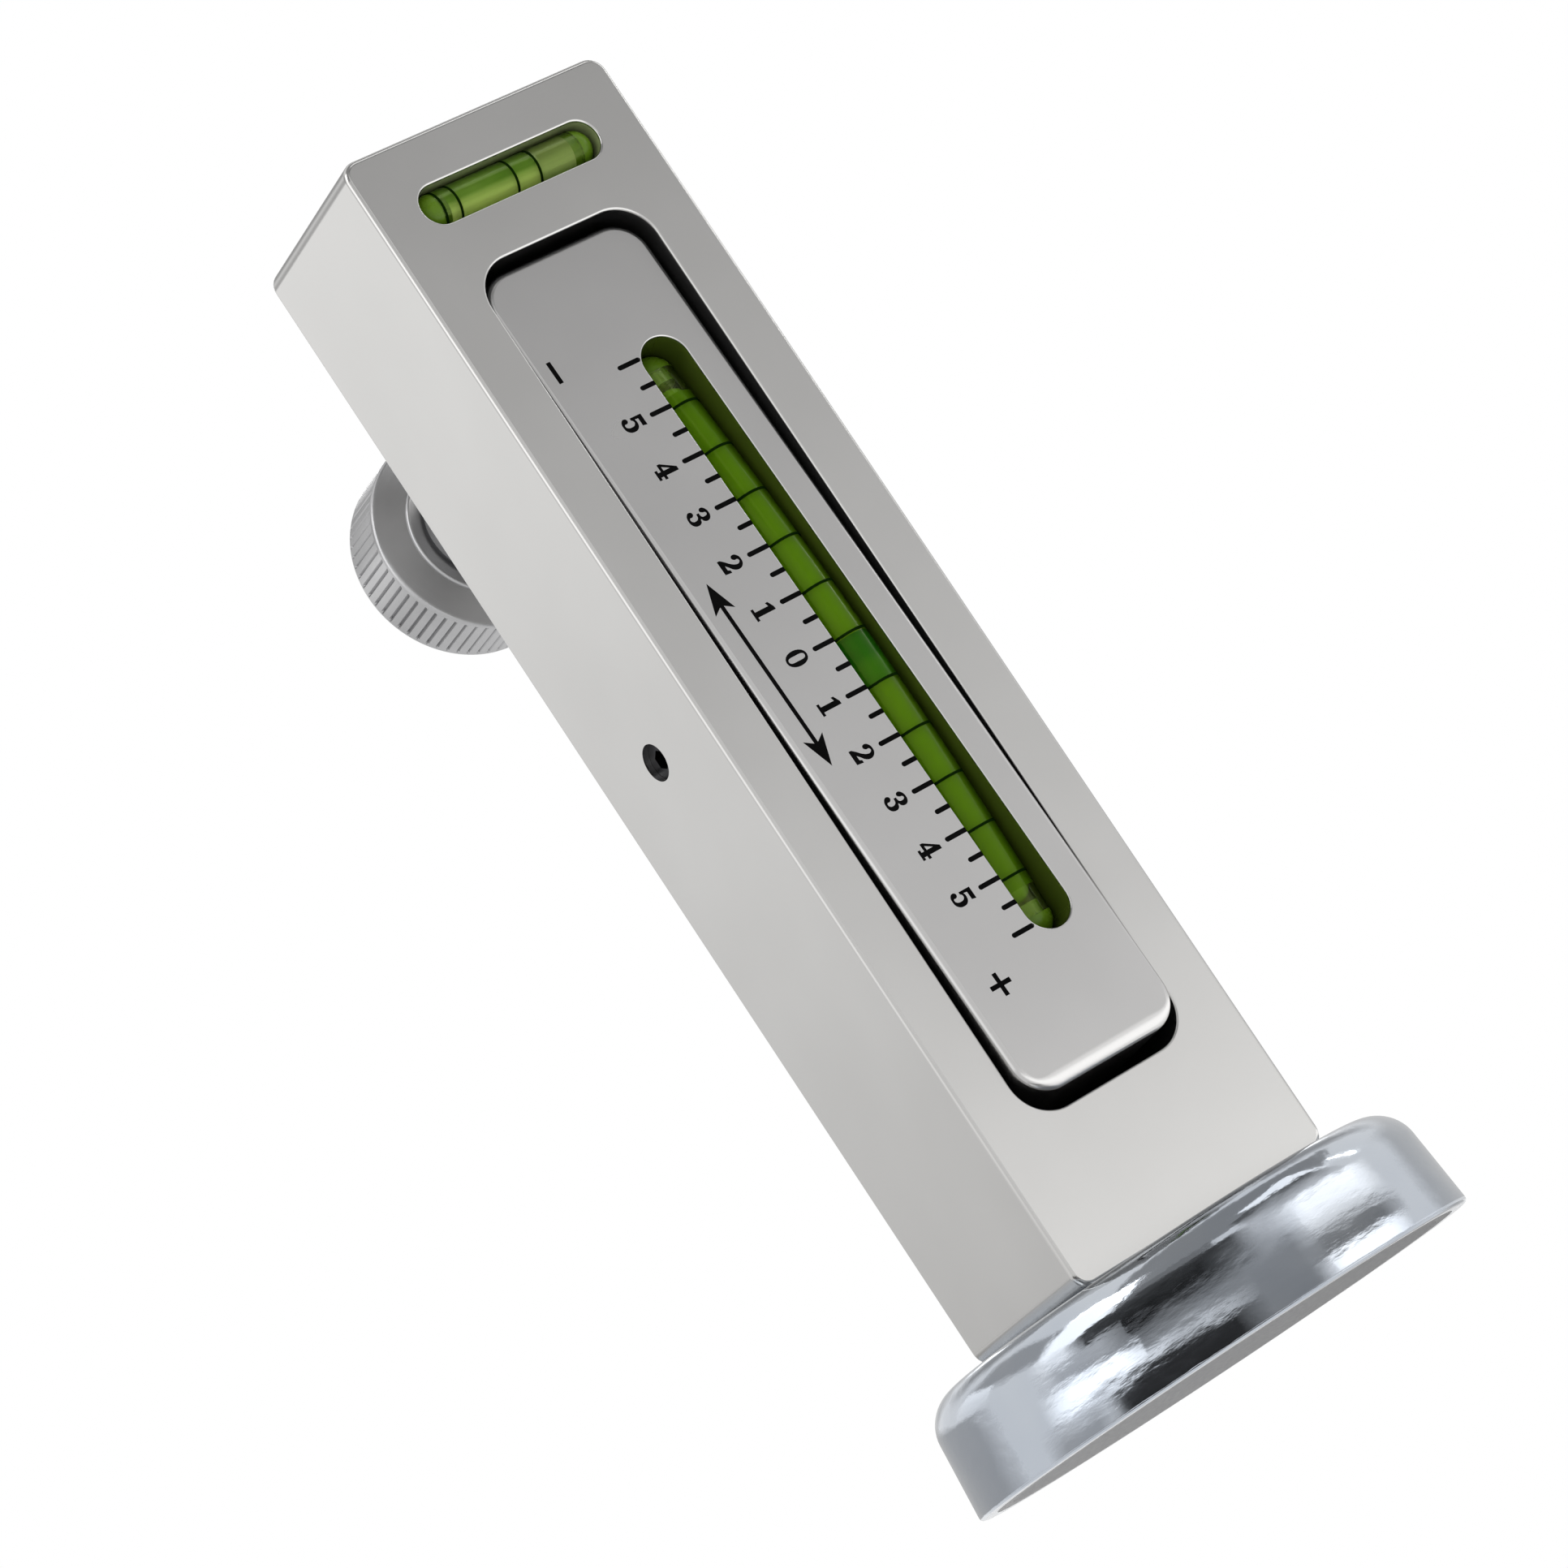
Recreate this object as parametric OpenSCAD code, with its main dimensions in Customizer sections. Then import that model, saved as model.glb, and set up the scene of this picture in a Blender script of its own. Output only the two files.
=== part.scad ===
// Camber and caster gauge: a bar with a rocking scale block, stood on its magnet.
// Z runs up the bar, X is to the right seen from the scale face, and the scale
// face looks along -Y. The origin is the centre of the magnet's pulling face.

/* [Body] */
// Width of the bar across the scale face
body_w = 35; // [30:0.5:50]
// Depth of the bar from the scale face to the back
body_d = 25; // [24:0.5:40]
// Length of the bar above the magnet
body_h = 139; // [115:1:180]
// Radius of the bar's outline corners, seen from the front
body_corner_r = 2; // [1.5:0.1:4]
// Radius that softens the front and back edges of the bar
body_edge_r = 0.6; // [0.4:0.1:1.4]

/* [Pocket] */
// Metal left beside the pocket on each side
pocket_side_wall = 6.3; // [5:0.1:8]
// Metal left behind the pocket
pocket_back_wall = 4; // [3:0.1:6]
// Metal above the pocket, which holds the cross level
pocket_top_wall = 16.2; // [14:0.1:24]
// Metal below the pocket, which holds the magnet's stud
pocket_bottom_wall = 16.9; // [14:0.1:24]
// Radius of the pocket's corners
pocket_corner_r = 4.6; // [3:0.1:6]

/* [Scale block] */
// Gap between the block and the pocket at each side
block_side_gap = 0.55; // [0.5:0.05:1]
// Gap above the block when it stands parallel to the bar
block_top_gap = 1.3; // [1.2:0.1:3]
// Gap below the block when it stands parallel to the bar
block_bottom_gap = 1.3; // [1.2:0.1:3]
// Radius of the block's outline corners
block_corner_r = 4; // [2.5:0.1:5]
// Radius that softens the block's front edge
block_edge_r = 0.8; // [0.3:0.1:1.2]
// Furthest tilt of the block either way from parallel, in degrees
max_tilt = 4; // [2:0.5:5]
// Tilt of the block as it is drawn, in degrees
rest_tilt = -2; // [-4:0.5:4]

/* [Main vial] */
// Outside diameter of the curved glass
vial_d = 5.4; // [4.5:0.1:6.6]
// Thickness of the glass
vial_wall = 0.6; // [0.4:0.05:0.9]
// Bend radius of the glass, which sets how far the bubble runs for each degree
vial_bend_r = 346.5; // [250:0.5:450]
// Distance of the vial to the right of the bar's centre line
vial_x = 4; // [3.5:0.1:4.5]
// Depth of the glass below the block's face at the middle of the vial
vial_recess = 0.35; // [0.2:0.05:0.8]
// Length of the block above the vial's window
vial_top_land = 13.5; // [13:0.1:18]
// Length of the block below the vial's window
vial_bottom_land = 14.3; // [10:0.1:18]

/* [Scale] */
// Length of the marks at whole degrees
tick_len = 2.9; // [2:0.1:3.5]
// Length of the marks at half degrees
half_tick_len = 2; // [1:0.1:2.4]
// Width of the marks
tick_w = 0.55; // [0.3:0.05:0.8]
// Depth of the engraving
tick_depth = 0.25; // [0.15:0.05:0.5]

/* [Cross level] */
// Outside diameter of the straight vial
level_d = 4.5; // [3.5:0.1:5]
// Thickness of the straight vial's wall
level_wall = 0.5; // [0.4:0.05:0.8]
// Distance of the cross level below the top of the bar
level_drop = 8.1; // [6:0.1:9]
// Metal left at each end of the cross level's window
level_end_wall = 5.7; // [4:0.1:8]
// Depth of the straight vial below the face
level_recess = 0.3; // [0.1:0.05:0.6]

/* [Pivot] */
// Diameter of the cross pin that the block rocks on
pin_d = 3; // [2.4:0.1:3.6]
// Diameter of the grub screws that close the pin's hole
grub_d = 4.2; // [3.8:0.1:5]
// Length of each grub screw
grub_len = 3; // [2:0.1:3.4]
// Depth of each grub screw below the side of the bar
grub_recess = 0.8; // [0.4:0.1:1]
// Outside diameter of the bushes in the block
bush_d = 5; // [4.6:0.1:5.6]
// Length of each bush inside the block
bush_len = 5; // [3:0.1:6]

/* [Adjuster] */
// Diameter of the adjusting stud
stud_d = 4.6; // [3.8:0.1:5.6]
// Diameter of the cross nut that the stud screws into
nut_d = 7; // [6.6:0.1:7.4]
// Distance of the cross nut below the top of the block
nut_drop = 11.7; // [9:0.1:12]
// Outside diameter of the barrel behind the bar
barrel_d = 14; // [13:0.1:16]
// Length of the barrel behind the bar
barrel_len = 18.3; // [15:0.1:24]
// Outside diameter of the knob over its knurl
knob_d = 24.6; // [20:0.1:30]
// Thickness of the knurled part of the knob
knob_t = 8; // [6:0.1:12]
// Number of ribs round the knob
knob_ribs = 64; // [40:1:90]
// Depth of the grooves between the ribs
knob_groove = 0.35; // [0.2:0.05:0.5]

/* [Magnet] */
// Diameter of the magnet over its rim
magnet_d = 60; // [50:1:80]
// Height of the magnet's steel cup
cup_h = 13; // [11:0.5:18]
// Thickness of the cup's steel
cup_wall = 2; // [1.5:0.1:3]
// Lean of the cup's side, in degrees
cup_flare = 5; // [0:0.5:8]
// Radius of the cup's shoulder
cup_shoulder_r = 4.5; // [3:0.5:6]
// Thickness of the magnet disc
disc_t = 8; // [6:0.5:8]
// Diameter of the stud that joins the magnet to the bar
magnet_stud_d = 8; // [6:0.5:10]
// Length of that stud inside the bar
magnet_stud_len = 10; // [8:0.5:12]

/* [Hidden] */
$fn = 64;
arc_fn = 1440; // sides of a whole turn at the vial's long bend radius

// Fits: a seat holds its piece still, and a running fit lets it turn.
seat = 0.02;
fluid_gap = 0.04; // between a vial's fluid and its glass
running = 0.05;
paint_gap = 0.01; // between the paint and the engraving that it fills
cut = 1; // how far a cutting shape runs past the face that it opens

// The bar and its pocket
front_y = -body_d / 2;
back_y = body_d / 2;
body_top = cup_h + body_h;
pocket_w = body_w - 2 * pocket_side_wall;
pocket_bottom = cup_h + pocket_bottom_wall;
pocket_top = body_top - pocket_top_wall;
pocket_floor_y = back_y - pocket_back_wall;

// The block when it stands parallel to the bar
block_w = pocket_w - 2 * block_side_gap;
block_bottom = pocket_bottom + block_bottom_gap;
block_top = pocket_top - block_top_gap;
block_h = block_top - block_bottom;
pivot_offset = 0.45; // the pin sits this far above the pocket's middle
pivot_z = (pocket_bottom + pocket_top) / 2 + pivot_offset;
floor_gap = 0.38; // left behind the block's ends at full tilt
block_reach = max(block_top - pivot_z, pivot_z - block_bottom);
block_back_y = pocket_floor_y - block_reach * sin(max_tilt) - floor_gap;
block_d = block_back_y - front_y;

// The main vial, in the upright block
vial_r = vial_d / 2;
vial_bore_r = vial_r - vial_wall;
vial_clear = 0.15; // round the glass, in its window
window_w = vial_d + 2 * vial_clear;
window_bottom = block_bottom + vial_bottom_land;
window_top = block_top - vial_top_land;
window_h = window_top - window_bottom;
window_z = (window_bottom + window_top) / 2;
vial_y = front_y + vial_recess + vial_r;
vial_half_angle = (window_h / 2 - vial_clear - vial_r) / vial_bend_r * 180 / PI;
vial_drop = vial_bend_r * (1 - cos(vial_half_angle));
bed_floor_t = 0.6; // bed left below the glass's ends
window_floor_y = vial_y + vial_drop + vial_r + bed_floor_t;
plug_len = 1.5; // how far a plug reaches into its glass
ring_w = 0.3;
ring_t = 0.05;

// The scale: the marks follow the bubble's run, one degree at a time.
pitch = vial_bend_r * PI / 180;
tick_past_edge = 0.12; // opens each mark into the window
scale_degrees = floor(window_h / 2 / pitch);
window_left = vial_x - window_w / 2;
bubble_degrees = 1; // the bubble's length
bubble_at = -0.5; // where its middle lies
bubble_share = 0.85; // the bubble's radius over the bore's

// The cross level
level_z = body_top - level_drop;
level_r = level_d / 2;
level_bore_r = level_r - level_wall;
level_clear = 0.1;
level_window_w = body_w - 2 * level_end_wall;
level_window_h = level_d + 2 * level_clear;
level_y = front_y + level_recess + level_r;
level_bed_floor_t = 1;
level_floor_y = level_y + level_r + level_bed_floor_t;
level_half = level_window_w / 2 - level_clear - level_r;
level_ring_steps = [2.6, 4.6, 12.2, 15.3]; // from the window's left end
level_bubble_len = 6.6;
level_bubble_share = 0.75; // the bubble's radius over the bore's

// The pivot
pin_r = pin_d / 2;
pin_len = body_w - 2 * (grub_len + grub_recess);
grub_r = grub_d / 2;
bush_r = bush_d / 2;
bush_flange_r = bush_r + 1;
bush_flange_gap = 0.15; // between a flange and the pocket's side
bush_flange_t = block_side_gap - bush_flange_gap;
pin_room = 0.5; // round the pin, between the bushes

// The adjuster: the nut hangs level with the pin, clear of the vial's window.
stud_r = stud_d / 2;
nut_r = nut_d / 2;
nut_wall = 0.9;
nut_y = max(0, window_floor_y + nut_wall + nut_r + running);
nut_z = block_top - nut_drop;
lever = nut_z - pivot_z;
nut_blind_wall = 3.4; // block left beyond the nut's blind end
nut_end_gap = 0.2;
nut_half = block_w / 2 - nut_blind_wall - nut_end_gap;
stud_play = 0.15; // between the stud and the nut, for the nut's arc
stud_room = 0.7; // round the stud, in the block
knob_z = pivot_z + lever * (1 + cos(max_tilt)) / 2;
stud_tip_y = -3.2;
stud_tip_room = 0.5;
stud_hole_y = stud_tip_y - lever * sin(max_tilt) - stud_tip_room;
barrel_r = barrel_d / 2;
barrel_end_y = back_y + barrel_len;
spigot_step = 1; // shoulder that seats the barrel on the bar's back
spigot_r = barrel_r - spigot_step;
barrel_head_t = 6.6; // barrel left round the stud, beyond the spring
spring_wire_r = 0.4;
spring_room = 0.7; // between the spring's wire and the stud
spring_r = stud_r + spring_room + spring_wire_r;
spring_bore_room = 0.3; // round the spring, in the barrel
spring_end_gap = 0.4; // between the spring and the block
spring_seat_y = barrel_end_y - barrel_head_t;
spring_turns = 9;
washer_t = 0.5;
washer_step = 0.4; // the washer is this much smaller than the barrel
knob_face_y = barrel_end_y + washer_t + 2 * seat;
knob_hub_t = 1.4; // the hub stands this far out of the knurled part
knob_rim_y = knob_face_y + knob_hub_t;
knob_back_y = knob_rim_y + knob_t;
knob_r = knob_d / 2;
knob_hub_step = 3.6; // width of the slope and ring round the hub
knob_hub_r = knob_r - knob_hub_step;
knob_hub_chamfer = 0.4;
knob_chamfer = 0.45;
knob_dish_rim = 3.2; // width of the ring round the dish
knob_dish_depth = 0.6;
knob_grub_r = 1.5;
knob_grub_recess = 1.4;
stud_end_depth = 1; // the stud ends this far inside the knob
stud_end_y = knob_back_y - stud_end_depth;

// The magnet
magnet_r = magnet_d / 2;
cup_top_t = 2.2;
cup_inner_step = 1; // the inner shoulder's radius is this much less than the outer's
rim_chamfer = 0.5;
resin_w = 2; // ring of resin between the disc and the cup
disc_r = magnet_r - cup_wall - resin_w;
magnet_stud_r = magnet_stud_d / 2;
magnet_stud_end_gap = 1;
rivet_flange = 4;
rivet_r = magnet_stud_r + rivet_flange;

// ---- Shared shapes ----

// Lays a shape drawn in XY upright, so that its height runs along Z and it grows towards -Y.
module stand_up() {
    rotate([90, 0, 0]) children();
}

// A rectangle with round corners, centred
module round_rect(w, h, r) {
    square([w - 2 * r, h], center = true);
    square([w, h - 2 * r], center = true);
    for (x = [-1, 1], y = [-1, 1])
        translate([x * (w / 2 - r), y * (h / 2 - r)]) circle(r = r);
}

// A slot with round ends, centred, long in X
module slot(length, width) {
    square([length - width, width], center = true);
    for (side = [-1, 1])
        translate([side * (length - width) / 2, 0]) circle(d = width);
}

// A slab's section: w wide, d deep from y = 0 up, with softened lower and upper corners
module soft_section(w, d, low_r, high_r) {
    translate([-w / 2, low_r]) square([w, d - low_r - high_r]);
    if (low_r > 0) soft_side(w, low_r, low_r);
    if (high_r > 0) translate([0, d - high_r]) soft_side(w, high_r, 0);
}

// One softened side of a section, with the circles' centres at height y
module soft_side(w, r, y) {
    translate([-w / 2 + r, y - r + (y > 0 ? 0 : r)]) square([w - 2 * r, r]);
    for (side = [-1, 1])
        translate([side * (w / 2 - r), y]) circle(r = r);
}

// A slab, w wide, h tall and d deep, with its front at y = 0 and softened front and back edges
module soft_slab(w, h, d, corner_r, front_r, back_r) {
    translate([0, 0, -h / 2 + corner_r])
        linear_extrude(h - 2 * corner_r) soft_section(w, d, front_r, back_r);
    rotate([0, 90, 0]) translate([0, 0, -w / 2 + corner_r])
        linear_extrude(w - 2 * corner_r) soft_section(h, d, front_r, back_r);
    for (x = [-1, 1], z = [-1, 1])
        translate([x * (w / 2 - corner_r), 0, z * (h / 2 - corner_r)])
            rotate([-90, 0, 0]) rotate_extrude()
                intersection() {
                    soft_section(2 * corner_r, d, front_r, back_r);
                    square([corner_r, d]);
                }
}

// A cylinder along +X from x0 to x1
module bar_x(r, x0, x1) {
    translate([x0, 0, 0]) rotate([0, 90, 0]) cylinder(r = r, h = x1 - x0);
}

// A cylinder along +Y from y0 to y1
module bar_y(r, y0, y1) {
    translate([0, y0, 0]) rotate([-90, 0, 0]) cylinder(r = r, h = y1 - y0);
}

// A plug with a round nose: its stem is len long and ends where the nose begins
module plug(stem_r, nose_r, len) {
    rotate_extrude() {
        translate([0, -len]) square([stem_r, len]);
        intersection() {
            circle(r = nose_r);
            square(nose_r);
        }
    }
}

// A grub screw along +Z, its socket at z = 0 and its point at z = len
module grub_screw(r, len) {
    socket_af = 0.95 * r;
    socket_depth = 0.4 * len;
    difference() {
        cylinder(r = r, h = len);
        translate([0, 0, -cut])
            cylinder(d = socket_af / cos(30), h = socket_depth + cut, $fn = 6);
    }
}

// Puts what belongs to the block at the tilt that the model is drawn at.
module at_rest_tilt() {
    translate([0, 0, pivot_z]) rotate([rest_tilt, 0, 0])
        translate([0, 0, -pivot_z]) children();
}

// Stands on the vial's centre of curvature: local X runs out to the middle of the glass.
module at_vial_centre() {
    translate([vial_x, vial_y + vial_bend_r, window_z]) rotate([90, 0, -90]) children();
}

// Puts a piece drawn along Z on the curved glass, angle degrees up from its middle.
module on_vial(angle) {
    at_vial_centre() rotate([0, 0, angle])
        translate([vial_bend_r, 0, 0]) rotate([-90, 0, 0]) children();
}

// A curved round bar that follows the glass to half_angle on each side
module vial_arc(r, half_angle) {
    at_vial_centre() rotate([0, 0, -half_angle])
        rotate_extrude(angle = 2 * half_angle, $fn = arc_fn)
            translate([vial_bend_r, 0]) circle(r = r, $fn = 48);
}

// The marks of the scale, as cutting or filling shapes of the given depth
module tick_shapes(depth, shrink, overrun) {
    for (half_steps = [-2 * scale_degrees : 2 * scale_degrees]) {
        whole = half_steps % 2 == 0;
        len = (whole ? tick_len : half_tick_len) + tick_past_edge;
        centre_x = window_left + tick_past_edge - len / 2;
        translate([centre_x, front_y + depth, window_z + half_steps * pitch / 2])
            stand_up() linear_extrude(depth + overrun)
                slot(len - 2 * shrink, tick_w - 2 * shrink);
    }
}

// A cup's section, from its rim at z = 0: leaning side and round shoulder
module cup_section(rim_r, h, shoulder_r, chamfer) {
    lean = tan(cup_flare);
    centre_z = h - shoulder_r;
    centre_r = rim_r - (centre_z - chamfer) * lean - shoulder_r / cos(cup_flare);
    polygon([
        [0, 0], [rim_r - chamfer, 0], [rim_r, chamfer],
        [centre_r + shoulder_r * cos(cup_flare), centre_z + shoulder_r * sin(cup_flare)],
        [centre_r, h], [0, h]
    ]);
    translate([centre_r, centre_z]) circle(r = shoulder_r);
}

// The point of the spring's middle line after t of its turns
function spring_point(t, y0, y1) =
    let(a = 360 * t * spring_turns)
    [spring_r * cos(a), y0 + (y1 - y0) * t, spring_r * sin(a)];

// ---- Bar and magnet ----

module housing() {
    color([0.74, 0.73, 0.71]) difference() {
        translate([0, front_y, cup_h + body_h / 2])
            soft_slab(body_w, body_h, body_d, body_corner_r, body_edge_r, body_edge_r);
        // pocket
        translate([0, pocket_floor_y, (pocket_bottom + pocket_top) / 2]) stand_up()
            linear_extrude(pocket_floor_y - front_y + cut)
                round_rect(pocket_w, pocket_top - pocket_bottom, pocket_corner_r);
        // cross level's window
        translate([0, level_floor_y, level_z]) stand_up()
            linear_extrude(level_floor_y - front_y + cut) slot(level_window_w, level_window_h);
        // pin hole, opened out at both sides for the grub screws
        translate([0, 0, pivot_z]) {
            bar_x(pin_r + seat, -body_w / 2 - cut, body_w / 2 + cut);
            for (side = [0, 180]) rotate([0, 0, side])
                bar_x(grub_r + seat, pin_len / 2, body_w / 2 + cut);
        }
        // barrel's hole
        translate([0, 0, knob_z]) bar_y(spigot_r + seat, pocket_floor_y - cut, back_y + cut);
        // magnet stud's hole
        translate([0, 0, cup_h - cut])
            cylinder(r = magnet_stud_r + seat, h = magnet_stud_len + magnet_stud_end_gap + cut);
    }
}

module magnet_cup() {
    color([0.66, 0.69, 0.73]) difference() {
        rotate_extrude() intersection() {
            cup_section(magnet_r, cup_h, cup_shoulder_r, rim_chamfer);
            square([magnet_r, cup_h]);
        }
        rotate_extrude() intersection() {
            cup_section(magnet_r - cup_wall, cup_h - cup_top_t, cup_shoulder_r - cup_inner_step, 0);
            square([magnet_r, cup_h]);
        }
        cylinder(r = magnet_stud_r + seat, h = cup_h + cut);
    }
}

module magnet_disc() {
    color([0.16, 0.16, 0.17]) cylinder(r = disc_r, h = disc_t);
}

// The resin that fills the cup round the disc
module magnet_potting() {
    color([0.10, 0.10, 0.11]) difference() {
        rotate_extrude() intersection() {
            cup_section(magnet_r - cup_wall - seat, cup_h - cup_top_t - seat,
                cup_shoulder_r - cup_inner_step, 0);
            square([magnet_r, cup_h]);
        }
        translate([0, 0, -cut]) cylinder(r = disc_r + seat, h = disc_t + cut);
        cylinder(r = rivet_r + seat, h = cup_h);
    }
}

module magnet_stud() {
    rivet_t = cup_h - cup_top_t - disc_t - 2 * seat;
    color([0.60, 0.60, 0.62]) {
        translate([0, 0, disc_t + seat]) cylinder(r = rivet_r, h = rivet_t);
        translate([0, 0, disc_t + seat])
            cylinder(r = magnet_stud_r, h = cup_h - disc_t - seat + magnet_stud_len);
    }
}

// ---- Cross level ----

module level_vial_tube() {
    color([0.80, 0.90, 0.75, 0.5]) translate([0, level_y, level_z]) difference() {
        bar_x(level_r, -level_half, level_half);
        bar_x(level_bore_r, -level_half - cut, level_half + cut);
    }
}

module level_vial_plugs() {
    color([0.55, 0.70, 0.30]) translate([0, level_y, level_z])
        for (side = [0, 180]) rotate([0, 0, side])
            translate([level_half + seat, 0, 0]) rotate([0, 90, 0])
                plug(level_bore_r - seat, level_r, plug_len);
}

module level_vial_liquid() {
    liquid_half = level_half - plug_len - fluid_gap;
    bubble_r = level_bubble_share * level_bore_r;
    bubble_sink = 0.2 * bubble_r; // how far the bubble's crown is cut off by the bore
    bubble_start = liquid_half - level_bubble_len + bubble_r;
    color([0.45, 0.62, 0.15]) translate([0, level_y, level_z]) difference() {
        bar_x(level_bore_r - fluid_gap, -liquid_half, liquid_half);
        translate([0, bubble_r - bubble_sink - level_bore_r, 0]) {
            bar_x(bubble_r, bubble_start, liquid_half + cut);
            translate([bubble_start, 0, 0]) sphere(r = bubble_r);
        }
    }
}

module level_vial_rings() {
    color([0.12, 0.25, 0.05]) translate([-level_window_w / 2, level_y, level_z])
        for (step = level_ring_steps) difference() {
            bar_x(level_r + ring_t, step - ring_w / 2, step + ring_w / 2);
            bar_x(level_r + seat, step - ring_w, step + ring_w);
        }
}

module level_vial_bed() {
    bed_h = 1.8;
    groove_r = level_r + 3 * seat + ring_t;
    color([0.86, 0.86, 0.80]) difference() {
        translate([0, level_floor_y - seat, level_z]) stand_up()
            linear_extrude(bed_h) slot(level_window_w - 2 * seat, level_window_h - 2 * seat);
        translate([0, level_y, level_z]) {
            bar_x(groove_r, -level_half, level_half);
            for (side = [-1, 1]) translate([side * level_half, 0, 0]) sphere(r = groove_r);
        }
    }
}

// ---- Pivot, carried by the bar ----

module pivot_pin() {
    pin_chamfer = 0.3;
    half = pin_len / 2 - seat;
    color([0.55, 0.56, 0.58]) translate([0, 0, pivot_z]) rotate([0, 90, 0])
        rotate_extrude() polygon([
            [0, -half], [pin_r - pin_chamfer, -half], [pin_r, pin_chamfer - half],
            [pin_r, half - pin_chamfer], [pin_r - pin_chamfer, half], [0, half]
        ]);
}

module pivot_grub_screws() {
    color([0.10, 0.10, 0.11]) translate([0, 0, pivot_z])
        for (side = [0, 180]) rotate([0, 0, side])
            translate([body_w / 2 - grub_recess, 0, 0]) rotate([0, -90, 0])
                grub_screw(grub_r, grub_len);
}

// ---- Adjuster, carried by the bar ----

module adjuster_barrel() {
    color([0.66, 0.66, 0.68]) translate([0, 0, knob_z]) difference() {
        union() {
            bar_y(spigot_r, pocket_floor_y, back_y + cut);
            bar_y(barrel_r, back_y, barrel_end_y);
        }
        bar_y(spring_r + spring_wire_r + spring_bore_room, pocket_floor_y - cut, spring_seat_y);
        bar_y(stud_r + running, pocket_floor_y, barrel_end_y + cut);
    }
}

module thrust_washer() {
    color([0.60, 0.60, 0.62]) translate([0, 0, knob_z]) difference() {
        bar_y(barrel_r - washer_step, barrel_end_y + seat, barrel_end_y + seat + washer_t);
        bar_y(stud_r + 2 * running, barrel_end_y - cut, barrel_end_y + washer_t + cut);
    }
}

// The spring that pushes the block off the barrel and takes up the thread's slack
module adjuster_spring() {
    sides = 6;
    rings_per_turn = 8;
    rings = spring_turns * rings_per_turn;
    block_back_at_nut = block_back_y * cos(rest_tilt) - lever * sin(rest_tilt);
    y0 = block_back_at_nut + spring_wire_r + spring_end_gap;
    y1 = spring_seat_y - spring_wire_r - seat;
    points = [
        for (i = [0 : rings]) let(p = spring_point(i / rings, y0, y1), a = 360 * i * spring_turns / rings)
            for (k = [0 : sides - 1]) let(b = 360 * k / sides)
                p + spring_wire_r * [cos(b) * cos(a), sin(b), cos(b) * sin(a)]
    ];
    walls = [
        for (i = [0 : rings - 1], k = [0 : sides - 1])
            let(a = i * sides + k, b = i * sides + (k + 1) % sides, c = a + sides, d = b + sides)
                each [[a, c, b], [b, c, d]]
    ];
    ends = [
        for (k = [1 : sides - 2]) each [
            [0, k, k + 1],
            [rings * sides, rings * sides + k + 1, rings * sides + k]
        ]
    ];
    color([0.62, 0.63, 0.65]) translate([0, 0, knob_z])
        polyhedron(points = points, faces = concat(walls, ends));
}

// ---- Block and main vial ----

module scale_block() {
    color([0.66, 0.65, 0.64]) at_rest_tilt() difference() {
        translate([0, front_y, block_bottom + block_h / 2])
            soft_slab(block_w, block_h, block_d, block_corner_r, block_edge_r, 0);
        // vial's window
        translate([vial_x, window_floor_y, window_z]) stand_up()
            linear_extrude(window_floor_y - front_y + cut) rotate(90) slot(window_h, window_w);
        // bushes' holes, with the pin's hole between them
        translate([0, 0, pivot_z]) {
            bar_x(pin_r + pin_room, -block_w / 2, block_w / 2);
            for (side = [0, 180]) rotate([0, 0, side])
                bar_x(bush_r + seat, block_w / 2 - bush_len, block_w / 2 + cut);
        }
        // cross nut's hole, drilled from the left, and the stud's hole
        translate([0, nut_y, nut_z]) bar_x(nut_r + running, -block_w / 2 - cut, nut_half + nut_end_gap);
        translate([0, 0, nut_z]) bar_y(stud_r + stud_room, stud_hole_y, block_back_y + cut);
        tick_shapes(tick_depth, 0, cut);
    }
}

// Bronze bushes in the block, whose flanges keep it off the pocket's sides
module pivot_bushes() {
    color([0.72, 0.52, 0.28]) at_rest_tilt() translate([0, 0, pivot_z])
        for (side = [0, 180]) rotate([0, 0, side]) difference() {
            union() {
                bar_x(bush_r, block_w / 2 - bush_len + seat, block_w / 2 + seat);
                bar_x(bush_flange_r, block_w / 2 + seat, block_w / 2 + bush_flange_t);
            }
            bar_x(pin_r + running, 0, body_w / 2);
        }
}

module scale_marks() {
    color([0.06, 0.06, 0.06]) at_rest_tilt()
        intersection() {
            tick_shapes(tick_depth - paint_gap, paint_gap, -2 * paint_gap);
            translate([window_left - block_w - 2 * paint_gap, front_y, block_bottom])
                cube([block_w, tick_depth, block_h]);
        }
}

module main_vial_tube() {
    color([0.80, 0.90, 0.75, 0.5]) at_rest_tilt() difference() {
        vial_arc(vial_r, vial_half_angle);
        vial_arc(vial_bore_r, vial_half_angle + 1);
    }
}

module main_vial_plugs() {
    color([0.35, 0.50, 0.10]) at_rest_tilt() {
        on_vial(vial_half_angle) translate([0, 0, seat]) plug(vial_bore_r - seat, vial_r, plug_len);
        on_vial(-vial_half_angle) rotate([180, 0, 0]) translate([0, 0, seat])
            plug(vial_bore_r - seat, vial_r, plug_len);
    }
}

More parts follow.
